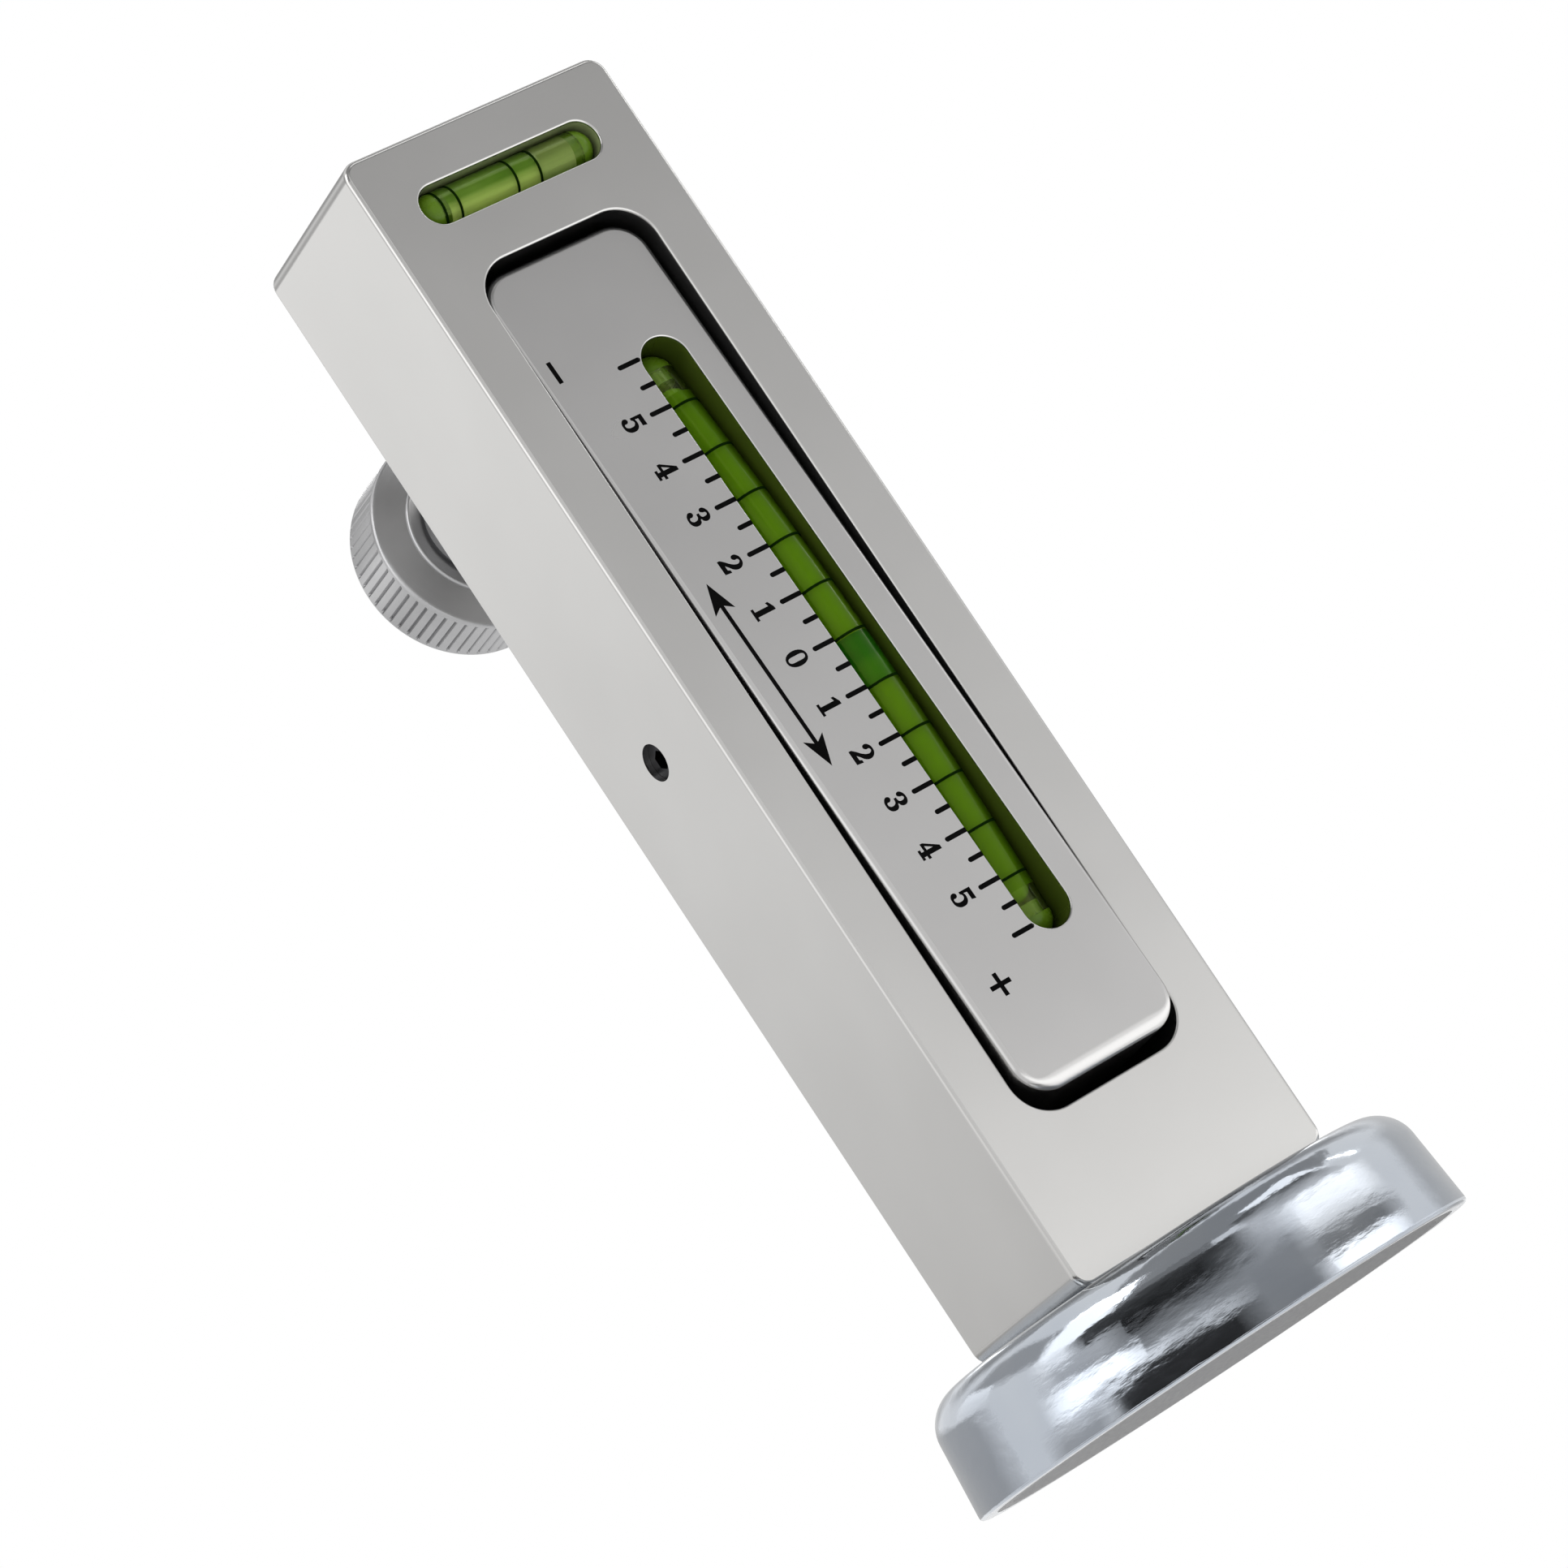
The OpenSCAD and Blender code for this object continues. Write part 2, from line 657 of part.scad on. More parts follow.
module main_vial_liquid() {
    plug_angle = (plug_len + fluid_gap) / pitch;
    bubble_r = bubble_share * vial_bore_r;
    bubble_sink = 0.25 * bubble_r; // how far the bubble's crown is cut off by the bore
    bubble_half = bubble_degrees * pitch / 2 - bubble_r;
    color([0.42, 0.60, 0.06]) at_rest_tilt() difference() {
        vial_arc(vial_bore_r - fluid_gap, vial_half_angle - plug_angle);
        on_vial(bubble_at) translate([vial_bore_r - bubble_r + bubble_sink, 0, 0]) {
            translate([0, 0, -bubble_half]) cylinder(r = bubble_r, h = 2 * bubble_half);
            for (side = [-1, 1]) translate([0, 0, side * bubble_half]) sphere(r = bubble_r);
        }
    }
}

module main_vial_rings() {
    numbered = scale_degrees - 1;
    color([0.10, 0.22, 0.02]) at_rest_tilt()
        for (degree = [-numbered : numbered]) on_vial(degree) difference() {
            cylinder(r = vial_r + seat + ring_t, h = ring_w, center = true);
            cylinder(r = vial_r + seat, h = 2 * ring_w, center = true);
        }
}

module main_vial_bed() {
    bed_h = 3.3;
    groove_r = vial_r + 3 * seat + ring_t;
    past_ends = 1.5; // degrees, so that the groove also clears the plugs' noses
    color([0.25, 0.30, 0.08]) at_rest_tilt() difference() {
        translate([vial_x, window_floor_y - seat, window_z]) stand_up()
            linear_extrude(bed_h) rotate(90) slot(window_h - 2 * seat, window_w - 2 * seat);
        vial_arc(groove_r, vial_half_angle + past_ends);
    }
}

// ---- Adjuster, moving ----

// The nut turns in the block so that its thread stays in line with the stud.
module trunnion_nut() {
    color([0.78, 0.62, 0.32]) translate([
        0,
        nut_y * cos(rest_tilt) - lever * sin(rest_tilt),
        pivot_z + lever * cos(rest_tilt) + nut_y * sin(rest_tilt)
    ]) difference() {
        bar_x(nut_r, -nut_half, nut_half);
        bar_y(stud_r + stud_play, -nut_d, nut_d);
    }
}

module knob() {
    groove_turn = 180 / knob_ribs;
    outline_r = knob_r - 2 * knob_chamfer; // where the hub's slope meets the rim
    past_ribs = 0.1; // the turned outline only cuts the ribs at their chamfers
    color([0.62, 0.62, 0.63]) translate([0, 0, knob_z]) difference() {
        intersection() {
            translate([0, knob_back_y + cut, 0]) stand_up()
                linear_extrude(knob_back_y - knob_face_y + 2 * cut)
                    polygon([for (i = [0 : 2 * knob_ribs - 1])
                        (knob_r - (i % 2) * knob_groove) * [cos(i * groove_turn), sin(i * groove_turn)]]);
            rotate([-90, 0, 0]) rotate_extrude() polygon([
                [0, knob_face_y], [knob_hub_r - knob_hub_chamfer, knob_face_y],
                [knob_hub_r, knob_face_y + knob_hub_chamfer],
                [outline_r, knob_rim_y], [knob_r - knob_chamfer, knob_rim_y],
                [knob_r + past_ribs, knob_rim_y + knob_chamfer + past_ribs],
                [knob_r + past_ribs, knob_back_y - knob_chamfer - past_ribs],
                [knob_r - knob_chamfer, knob_back_y], [0, knob_back_y]
            ]);
        }
        // shallow dish in the outer face
        bar_y(knob_r - knob_dish_rim, knob_back_y - knob_dish_depth, knob_back_y + cut);
        bar_y(stud_r + seat, knob_face_y - cut, knob_back_y + cut);
        translate([0, knob_rim_y + knob_t / 2, 0]) bar_x(knob_grub_r + seat, 0, knob_r + cut);
    }
}

module adjusting_stud() {
    tip_chamfer = 0.5;
    color([0.55, 0.56, 0.58]) translate([0, 0, knob_z]) rotate([-90, 0, 0])
        rotate_extrude() polygon([
            [0, stud_tip_y], [stud_r - tip_chamfer, stud_tip_y], [stud_r, stud_tip_y + tip_chamfer],
            [stud_r, stud_end_y - tip_chamfer], [stud_r - tip_chamfer, stud_end_y], [0, stud_end_y]
        ]);
}

module knob_grub_screw() {
    grub_start = stud_r + seat;
    color([0.10, 0.10, 0.11]) translate([0, knob_rim_y + knob_t / 2, knob_z])
        translate([knob_r - knob_grub_recess, 0, 0]) rotate([0, -90, 0])
            grub_screw(knob_grub_r, knob_r - knob_grub_recess - grub_start);
}

housing();
magnet_cup();
magnet_disc();
magnet_potting();
magnet_stud();
level_vial_tube();
level_vial_plugs();
level_vial_liquid();
level_vial_rings();
level_vial_bed();
pivot_pin();
pivot_grub_screws();
adjuster_barrel();
thrust_washer();
adjuster_spring();
scale_block();
pivot_bushes();
scale_marks();
main_vial_tube();
main_vial_plugs();
main_vial_liquid();
main_vial_rings();
main_vial_bed();
trunnion_nut();
knob();
adjusting_stud();
knob_grub_screw();
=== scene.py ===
"""Looks of a camber and caster gauge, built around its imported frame.

The frame holds every piece at its real size. This script replaces the pieces that show
most with finer ones, inlays the scale's numerals and signs, gives every piece its finish,
and sets up the studio. Lengths are in metres. Z runs up the bar, X is to the right seen
from the scale face, and the scale face looks along -Y.
"""

import logging
import math
from collections.abc import Callable, Iterator
from contextlib import contextmanager
from dataclasses import dataclass, replace
from enum import Enum

import bmesh
import bpy
from bpy.types import Material, NodeSocket, NodeTree, Object
from mathutils import Matrix, Vector

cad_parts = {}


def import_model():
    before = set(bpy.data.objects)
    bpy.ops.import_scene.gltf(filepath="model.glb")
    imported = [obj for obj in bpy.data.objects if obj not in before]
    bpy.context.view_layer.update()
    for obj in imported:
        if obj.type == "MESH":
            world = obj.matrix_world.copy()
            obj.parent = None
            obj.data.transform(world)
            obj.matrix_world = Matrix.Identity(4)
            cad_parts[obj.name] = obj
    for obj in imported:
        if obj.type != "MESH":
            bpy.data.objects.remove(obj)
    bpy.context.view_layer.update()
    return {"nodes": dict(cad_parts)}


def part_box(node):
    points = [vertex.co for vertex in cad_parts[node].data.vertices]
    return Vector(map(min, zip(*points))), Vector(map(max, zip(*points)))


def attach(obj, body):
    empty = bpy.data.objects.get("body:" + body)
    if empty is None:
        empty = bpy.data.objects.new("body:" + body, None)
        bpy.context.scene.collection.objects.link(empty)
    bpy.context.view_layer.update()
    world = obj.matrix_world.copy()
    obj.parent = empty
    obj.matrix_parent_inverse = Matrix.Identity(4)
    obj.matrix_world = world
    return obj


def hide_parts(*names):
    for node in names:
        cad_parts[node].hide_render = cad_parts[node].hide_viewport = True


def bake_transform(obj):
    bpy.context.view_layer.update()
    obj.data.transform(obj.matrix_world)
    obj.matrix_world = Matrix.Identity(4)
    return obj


LOG = logging.getLogger("gauge")
MM = 0.001
NEAR = 0.02 * MM  # two places closer than this count as one
OVERRUN = 1.0 * MM  # how far a cutter runs past the face that it opens
DOUBLE = 0.002 * MM  # two vertices closer than this are merged
SMOOTH_ANGLE = math.radians(32)
FACING = 0.9  # how much of a face's normal lies along an axis that the face looks along
FLAT_WEIGHT = 80  # how much large faces outweigh small ones in the shading, from 1 to 100
ROUND_END = 0.4999  # a corner's radius over the width of a slot with round ends

Colour = tuple[float, float, float]
Point = tuple[float, float, float]
WHITE: Colour = (1.0, 1.0, 1.0)
PlaceTest = Callable[[Vector], bool]
TwoPlaceTest = Callable[[Vector, Vector], bool]


# ---- Modelling helpers ----


def deselect_all() -> None:
    """Go to object mode with nothing selected."""
    if bpy.context.object is not None and bpy.context.object.mode != "OBJECT":
        bpy.ops.object.mode_set(mode="OBJECT")
    bpy.ops.object.select_all(action="DESELECT")


def activate(obj: Object) -> None:
    """Select one object alone and make it the active one."""
    deselect_all()
    obj.select_set(True)
    bpy.context.view_layer.objects.active = obj


def claim(name: str) -> Object:
    """Name the object that an add operator has just made, and apply its transform.

    Args:
        name: The new object's name.

    Returns:
        The object, with its place in its mesh.
    """
    obj = bpy.context.object
    obj.name = name
    obj.data.name = name
    activate(obj)
    bpy.ops.object.transform_apply(location=True, rotation=True, scale=True)
    return obj


@contextmanager
def editing(obj: Object) -> Iterator[None]:
    """Hold an object in edit mode with nothing selected, and leave edit mode afterwards.

    Args:
        obj: The object.

    Yields:
        Nothing, while the object is in edit mode.
    """
    activate(obj)
    bpy.ops.object.mode_set(mode="EDIT")
    bpy.ops.mesh.select_all(action="DESELECT")
    try:
        yield
    finally:
        bpy.ops.object.mode_set(mode="OBJECT")


def pick(obj: Object, kind: str, test: Callable[..., bool]) -> None:
    """Select some of the vertices, edges or faces of an object in edit mode, and nothing else.

    Args:
        obj: The object in edit mode.
        kind: VERT, EDGE or FACE.
        test: Takes one vertex, edge or face of the mesh.
    """
    bpy.ops.mesh.select_mode(type=kind)
    bpy.ops.mesh.select_all(action="DESELECT")
    mesh = bmesh.from_edit_mesh(obj.data)
    for part in {"VERT": mesh.verts, "EDGE": mesh.edges, "FACE": mesh.faces}[kind]:
        if test(part):
            part.select_set(True)
    mesh.select_flush_mode()
    bmesh.update_edit_mesh(obj.data)


def pick_verts(obj: Object, test: PlaceTest) -> None:
    """Select vertices by their place."""
    pick(obj, "VERT", lambda vert: test(vert.co))


def pick_faces(obj: Object, test: TwoPlaceTest) -> None:
    """Select faces by their centre and normal."""
    pick(obj, "FACE", lambda face: test(face.calc_center_median(), face.normal))


def pick_edges(
    obj: Object, test: TwoPlaceTest, least_fold: float | None = None
) -> None:
    """Select edges by the places of their ends.

    Args:
        obj: The object in edit mode.
        test: Takes the two ends of an edge.
        least_fold: Leave out edges whose two faces meet at less than this angle.
    """

    def chosen(edge: bmesh.types.BMEdge) -> bool:
        """Say whether an edge passes both tests."""
        folded = least_fold is None or (
            len(edge.link_faces) == 2 and edge.calc_face_angle(0.0) > least_fold
        )
        return folded and test(edge.verts[0].co, edge.verts[1].co)

    pick(obj, "EDGE", chosen)


def pick_caps(obj: Object) -> None:
    """Select the edges round the end faces of a round rod in edit mode."""
    pick(obj, "FACE", lambda face: len(face.verts) > 4)
    bpy.ops.mesh.region_to_loop()


def bevel(width: float, segments: int) -> None:
    """Round the selected edges."""
    bpy.ops.mesh.bevel(offset=width, segments=segments, profile=0.5, affect="EDGES")


def round_caps(obj: Object, width: float, segments: int = 8) -> None:
    """Round the ends of a round rod.

    Args:
        obj: The rod.
        width: How wide the rounding is.
        segments: The number of faces across it.
    """
    with editing(obj):
        pick_caps(obj)
        bevel(width, segments)


def apply_modifier(obj: Object, kind: str, **settings: object) -> None:
    """Add a modifier, set it up and apply it.

    Args:
        obj: The object that takes the modifier.
        kind: The modifier's type.
        **settings: Its properties by name.
    """
    activate(obj)
    modifier = obj.modifiers.new(kind.lower(), kind)
    for name, value in settings.items():
        setattr(modifier, name, value)
    bpy.ops.object.modifier_apply(modifier=modifier.name)


def join(name: str, parts: list[Object]) -> Object:
    """Join mesh objects into one.

    Args:
        name: The joined object's name.
        parts: The objects, which are used up.

    Returns:
        The joined object.
    """
    activate(parts[0])
    for part in parts:
        part.select_set(True)
    if len(parts) > 1:
        bpy.ops.object.join()
    parts[0].name = name
    return parts[0]


def cut(obj: Object, cutters: list[Object]) -> None:
    """Cut shapes out of an object, one after the other, and delete them.

    Args:
        obj: The object.
        cutters: The shapes.
    """
    for cutter in cutters:
        apply_modifier(obj, "BOOLEAN", operation="DIFFERENCE", solver="EXACT", object=cutter)
        bpy.data.objects.remove(cutter)


def clean(obj: Object) -> None:
    """Merge an object's doubled vertices and point its faces outwards.

    Args:
        obj: The object.
    """
    with editing(obj):
        bpy.ops.mesh.select_all(action="SELECT")
        bpy.ops.mesh.remove_doubles(threshold=DOUBLE)
        bpy.ops.mesh.normals_make_consistent(inside=False)


def smooth(obj: Object, angle: float = SMOOTH_ANGLE) -> None:
    """Clean an object and shade it smooth up to an angle, with its flat faces left flat.

    Args:
        obj: The object.
        angle: The steepest fold that still looks round.
    """
    clean(obj)
    activate(obj)
    bpy.ops.object.shade_smooth_by_angle(angle=angle)
    apply_modifier(obj, "WEIGHTED_NORMAL", keep_sharp=True, weight=FLAT_WEIGHT)


def place(obj: Object, matrix: Matrix) -> None:
    """Move an object and apply the move, so that its place is in its mesh.

    Args:
        obj: The object.
        matrix: The move.
    """
    activate(obj)
    obj.matrix_world = matrix
    bpy.context.view_layer.update()
    bpy.ops.object.transform_apply(location=True, rotation=True, scale=True)


def dress(obj: Object, body: str, finish: Material) -> None:
    """Give a new piece its material and its body.

    Args:
        obj: The piece.
        body: The CAD body that it moves with.
        finish: The material.
    """
    obj.data.materials.clear()
    obj.data.materials.append(finish)
    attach(obj, body)
    LOG.info("%s: %d faces, rides on %s", obj.name, len(obj.data.polygons), body)


def round_prism(
    name: str, centre: Point, size: Point, corner_r: float, segments: int
) -> Object:
    """Make a block whose four edges along Y are rounded.

    Args:
        name: The object's name.
        centre: The block's centre.
        size: Its size along X, Y and Z.
        corner_r: The radius of its corners, seen along Y.
        segments: The number of faces round each corner.

    Returns:
        The block.
    """
    deselect_all()
    bpy.ops.mesh.primitive_cube_add(size=1, location=centre, scale=size)
    obj = claim(name)
    with editing(obj):
        pick_edges(obj, lambda a, b: abs(a.x - b.x) < NEAR and abs(a.z - b.z) < NEAR)
        bevel(corner_r, segments)
    return obj


def rod(
    name: str, axis: str, radius: float, start: Point, length: float, sides: int = 64
) -> Object:
    """Make a round bar that starts at a place and runs along an axis.

    Args:
        name: The object's name.
        axis: The axis that it runs along: X, Y or Z.
        radius: Its radius.
        start: The centre of its first end.
        length: Its length, along the axis's positive way.
        sides: The number of its sides.

    Returns:
        The bar.
    """
    turn = {"X": (0, math.pi / 2, 0), "Y": (-math.pi / 2, 0, 0), "Z": (0, 0, 0)}[axis]
    way = {"X": Vector((1, 0, 0)), "Y": Vector((0, 1, 0)), "Z": Vector((0, 0, 1))}[axis]
    deselect_all()
    bpy.ops.mesh.primitive_cylinder_add(
        vertices=sides,
        radius=radius,
        depth=length,
        location=Vector(start) + way * length / 2,
        rotation=turn,
    )
    return claim(name)


@dataclass(frozen=True)
class Recess:
    """Light and shade painted on the walls and floor of a pocket or window in a metal face.

    Attributes:
        centre: The centre of its opening in the face.
        half: Half its opening's width, how deep the painted colour starts, and half its height.
        depth: How deep the painted colour ends, a little below the floor.
        colour: The painted colour: dark for painted shade, green for a painted reflection of a
            vial's spirit.
        turn: The rotation that lays its face square to Y.
    """

    centre: Point
    half: Point
    depth: float
    colour: Colour
    turn: Point = (0.0, 0.0, 0.0)


@dataclass(frozen=True)
class Opening:
    """A round-cornered window cut into a face that looks along -Y.

    Attributes:
        x: Its centre along X.
        z: Its centre along Z.
        width: Its size along X.
        height: Its size along Z.
        corner_r: The radius of its corners.
        floor_y: Where its floor lies.
    """

    x: float
    z: float
    width: float
    height: float
    corner_r: float
    floor_y: float

    def cutter(self, front_y: float) -> Object:
        """Make the shape that cuts this opening from the front face back to its floor.

        Args:
            front_y: The front face's place.

        Returns:
            The shape.
        """
        depth = self.floor_y - front_y + OVERRUN
        centre = (self.x, self.floor_y - depth / 2, self.z)
        size = (self.width, depth, self.height)
        return round_prism("opening_cutter", centre, size, self.corner_r, segments=14)

    def recess(self, front_y: float, rim: float, start: float, colour: Colour) -> Recess:
        """Return the light and shade painted on this opening's walls and floor.

        Args:
            front_y: The front face's place.
            rim: How wide the rounding of the opening's rim is.
            start: How far below the front face the painted colour starts.
            colour: The painted colour.

        Returns:
            The painted recess, which ends a little below the floor.
        """
        half = (self.width / 2 + rim, start, self.height / 2 + rim)
        depth = self.floor_y - front_y + OVERRUN
        return Recess((self.x, front_y, self.z), half, depth, colour)

    def holds(self, place: Vector, margin: float) -> bool:
        """Say whether a place lies within this opening, seen along Y, give or take a margin.

        Args:
            place: The place.
            margin: How far outside it may lie.

        Returns:
            True if it does.
        """
        across = abs(place.x - self.x) < self.width / 2 + margin
        return across and abs(place.z - self.z) < self.height / 2 + margin


def soften_rims(
    obj: Object, front_y: float, openings: list[Opening], width: float, segments: int
) -> None:
    """Round the edges where openings meet a front face.

    Args:
        obj: The object that the openings are cut into.
        front_y: The front face's place.
        openings: The openings.
        width: How wide the rounding is.
        segments: The number of faces across it.
    """

    def on_rim(a: Vector, b: Vector) -> bool:
        """Say whether an edge lies on the rim of an opening."""
        in_front = abs(a.y - front_y) < NEAR and abs(b.y - front_y) < NEAR
        return in_front and any(o.holds(a, NEAR) and o.holds(b, NEAR) for o in openings)

    with editing(obj):
        pick_edges(obj, on_rim, SMOOTH_ANGLE)
        bevel(width, segments)


# ---- Node groups and finishes ----


def rgba(colour: Colour) -> tuple[float, float, float, float]:
    """Add full opacity to a colour."""
    return (*colour, 1.0)


class NodeBench:
    """Builds one node tree: nodes are added by kind, and values or links go into sockets."""

    def __init__(self, tree: NodeTree) -> None:
        """Take the tree that the nodes go into."""
        self.tree = tree

    def add(self, kind: str, **settings: object) -> bpy.types.Node:
        """Add a node.

        Args:
            kind: The node's type, without the ShaderNode in front.
            **settings: Its properties by name.

        Returns:
            The node.
        """
        node = self.tree.nodes.new("ShaderNode" + kind)
        for name, value in settings.items():
            setattr(node, name, value)
        return node

    def feed(self, socket: NodeSocket, source: object) -> None:
        """Give a socket a link if the source is a socket, and a plain value otherwise.

        Args:
            socket: The socket.
            source: The link's start, or the value.
        """
        if isinstance(source, NodeSocket):
            self.tree.links.new(source, socket)
        else:
            socket.default_value = source

    def math(self, operation: str, *sources: object) -> NodeSocket:
        """Add a Math node.

        Args:
            operation: The node's operation.
            *sources: A link or a value for each input.

        Returns:
            The node's output.
        """
        node = self.add("Math", operation=operation)
        for socket, source in zip(node.inputs, sources):
            self.feed(socket, source)
        return node.outputs[0]

    def split(self, vector: object) -> bpy.types.bpy_prop_collection:
        """Split a vector into X, Y and Z.

        Args:
            vector: The vector.

        Returns:
            The outputs by name.
        """
        node = self.add("SeparateXYZ")
        self.feed(node.inputs[0], vector)
        return node.outputs

    def combine(self, *axes: object) -> NodeSocket:
        """Put a vector together from its first axes.

        Args:
            *axes: A link or a value for X, Y and Z, in that order.

        Returns:
            The vector.
        """
        node = self.add("CombineXYZ")
        for socket, axis in zip(node.inputs, axes):
            self.feed(socket, axis)
        return node.outputs[0]

    def mix_shader(self, factor: object, *shaders: object) -> NodeSocket:
        """Mix two shaders.

        Args:
            factor: The share of the second.
            *shaders: The two shaders.

        Returns:
            The mixed shader.
        """
        node = self.add("MixShader")
        for socket, source in zip(node.inputs, (factor, *shaders)):
            self.feed(socket, source)
        return node.outputs[0]

    def noise(
        self, vector: object, scale: object, detail: float = 2.0, rough: float = 0.5
    ) -> NodeSocket:
        """Add a Noise texture.

        Args:
            vector: The place that it reads.
            scale: How fine it is.
            detail: How many finer layers it has.
            rough: How much each finer layer counts.

        Returns:
            Its value.
        """
        node = self.add("TexNoise")
        self.feed(node.inputs["Vector"], vector)
        self.feed(node.inputs["Scale"], scale)
        self.feed(node.inputs["Detail"], detail)
        self.feed(node.inputs["Roughness"], rough)
        return node.outputs["Fac"]

    def span(
        self, value: object, low: float, high: float, to_low: object, to_high: object
    ) -> NodeSocket:
        """Map a value from one range to another, and keep it there.

        Args:
            value: The value.
            low: Where the first range starts.
            high: Where it ends.
            to_low: What its start becomes.
            to_high: What its end becomes.

        Returns:
            The value in the second range.
        """
        node = self.add("MapRange")
        for name, source in (
            ("Value", value),
            ("From Min", low),
            ("From Max", high),
            ("To Min", to_low),
            ("To Max", to_high),
        ):
            self.feed(node.inputs[name], source)
        return node.outputs["Result"]

    def sway(self, noise: object, low: float, high: float) -> NodeSocket:
        """Map the band that a noise mostly keeps to, 0.3 to 0.7, to a range."""
        return self.span(noise, 0.3, 0.7, low, high)

    def mix(self, factor: object, first: object, second: object) -> NodeSocket:
        """Mix two colours.

        Args:
            factor: The share of the second.
            first: The first colour.
            second: The second colour.

        Returns:
            The mixed colour.
        """
        node = self.add("Mix", data_type="RGBA")
        for socket, source in zip((0, 6, 7), (factor, first, second)):
            self.feed(node.inputs[socket], source)
        return node.outputs[2]

    def place(
        self, centre: Point = (0, 0, 0), turn: Point = (0, 0, 0), scale: Point = (1, 1, 1)
    ) -> NodeSocket:
        """Add Object coordinates, moved, turned and scaled.

        Args:
            centre: The place that becomes the origin.
            turn: The rotation about it.
            scale: The scale along each axis, after the rotation.

        Returns:
            The coordinates.
        """
        shift = self.add("Mapping")
        self.feed(shift.inputs["Vector"], self.add("TexCoord").outputs["Object"])
        self.feed(shift.inputs["Location"], [-c for c in centre])
        if turn == (0, 0, 0) and scale == (1, 1, 1):
            return shift.outputs[0]
        aim = self.add("Mapping")
        self.feed(aim.inputs["Vector"], shift.outputs[0])
        self.feed(aim.inputs["Rotation"], turn)
        self.feed(aim.inputs["Scale"], scale)
        return aim.outputs[0]


class GroupMaker(NodeBench):
    """Builds one shader node group with named inputs and outputs."""

    def __init__(self, name: str, inputs: dict[str, object], outputs: list[str]) -> None:
        """Make the group.

        Args:
            name: The group's name.
            inputs: Each input's name and its value; a tuple makes a vector input.
            outputs: The names of its value outputs.
        """
        super().__init__(bpy.data.node_groups.new(name, "ShaderNodeTree"))
        for label, value in inputs.items():
            kind = "NodeSocketVector" if isinstance(value, tuple) else "NodeSocketFloat"
            socket = self.tree.interface.new_socket(label, in_out="INPUT", socket_type=kind)
            socket.default_value = value
        for label in outputs:
            self.tree.interface.new_socket(
                label, in_out="OUTPUT", socket_type="NodeSocketFloat"
            )
        self.given = self.tree.nodes.new("NodeGroupInput").outputs
        self.result = self.tree.nodes.new("NodeGroupOutput").inputs


def grain_group() -> NodeTree:
    """Fine scratches that run along the vector's Z, with broken ends.

    Returns:
        The node group.
    """
    make = GroupMaker("grain", {"Vector": (0.0, 0.0, 0.0), "Scale": 900.0}, ["Height"])
    squeeze, grit_scale, grit_share = 0.04, 2.5, 0.3
    stretch = make.add("Mapping")
    make.feed(stretch.inputs["Vector"], make.given["Vector"])
    make.feed(stretch.inputs["Scale"], (1.0, 1.0, squeeze))
    scratch = make.noise(stretch.outputs[0], make.given["Scale"], 3.0, 0.6)
    finer = make.math("MULTIPLY", make.given["Scale"], grit_scale)
    grit = make.math("MULTIPLY", make.noise(make.given["Vector"], finer), grit_share)
    height = make.math("MULTIPLY_ADD", scratch, 1 - grit_share, grit)
    make.feed(make.result["Height"], height)
    return make.tree


def cloud_group() -> NodeTree:
    """Slow, soft blotches, as handling and polishing leave on metal.

    Returns:
        The node group.
    """
    make = GroupMaker("cloud", {"Vector": (0.0, 0.0, 0.0), "Scale": 30.0}, ["Mask"])
    slow = make.noise(make.given["Vector"], make.given["Scale"], 3.0, 0.55)
    make.feed(make.result["Mask"], make.span(slow, 0.32, 0.68, 0.0, 1.0))
    return make.tree


def turned_group() -> NodeTree:
    """Fine rings round the vector's Z axis, as a lathe tool leaves them.

    Returns:
        The node group.
    """
    make = GroupMaker("turned", {"Vector": (0.0, 0.0, 0.0), "Pitch": 4000.0}, ["Height"])
    place = make.split(make.given["Vector"])
    squares = [make.math("POWER", place[axis], 2.0) for axis in ("X", "Y")]
    line = make.combine(make.math("SQRT", make.math("ADD", *squares)), place["Z"])
    make.feed(make.result["Height"], make.noise(line, make.given["Pitch"], 2.0, 0.7))
    return make.tree


def streak_group() -> NodeTree:
    """Streaks and dimples round the vector's Z axis, as barrel plating leaves them.

    Returns:
        The node group.
    """
    make = GroupMaker(
        "streak", {"Vector": (0.0, 0.0, 0.0), "Around": 6.0, "Along": 60.0}, ["Height"]
    )
    place = make.split(make.given["Vector"])
    turn = make.math("ARCTAN2", place["Y"], place["X"])
    ring = [make.math(way, turn) for way in ("COSINE", "SINE")]
    wrap = [make.math("MULTIPLY", way, make.given["Around"]) for way in ring]
    wrap.append(make.math("MULTIPLY", place["Z"], make.given["Along"]))
    make.feed(make.result["Height"], make.noise(make.combine(*wrap), 1.0, 3.0, 0.55))
    return make.tree


def recess_group() -> NodeTree:
    """A mask for what lies between two depths along the vector's Y, in a box round its origin.

    Returns:
        The node group.
    """
    inputs = {"Vector": (0.0, 0.0, 0.0), "Half": (1.0, 1.0, 1.0), "Depth": 1.0}
    make = GroupMaker("recess", inputs, ["Mask"])
    place = make.split(make.given["Vector"])
    half = make.split(make.given["Half"])
    below = make.math("GREATER_THAN", place["Y"], half["Y"])
    above = make.math("LESS_THAN", place["Y"], make.given["Depth"])
    mask = make.math("MULTIPLY", below, above)
    for axis in ("X", "Z"):
        inside = make.math("LESS_THAN", make.math("ABSOLUTE", place[axis]), half[axis])
        mask = make.math("MULTIPLY", mask, inside)
    make.feed(make.result["Mask"], mask)
    return make.tree


class Effect(Enum):
    """The shared surface effects."""

    GRAIN = "grain"
    CLOUD = "cloud"
    TURNED = "turned"
    STREAK = "streak"
    RECESS = "recess"


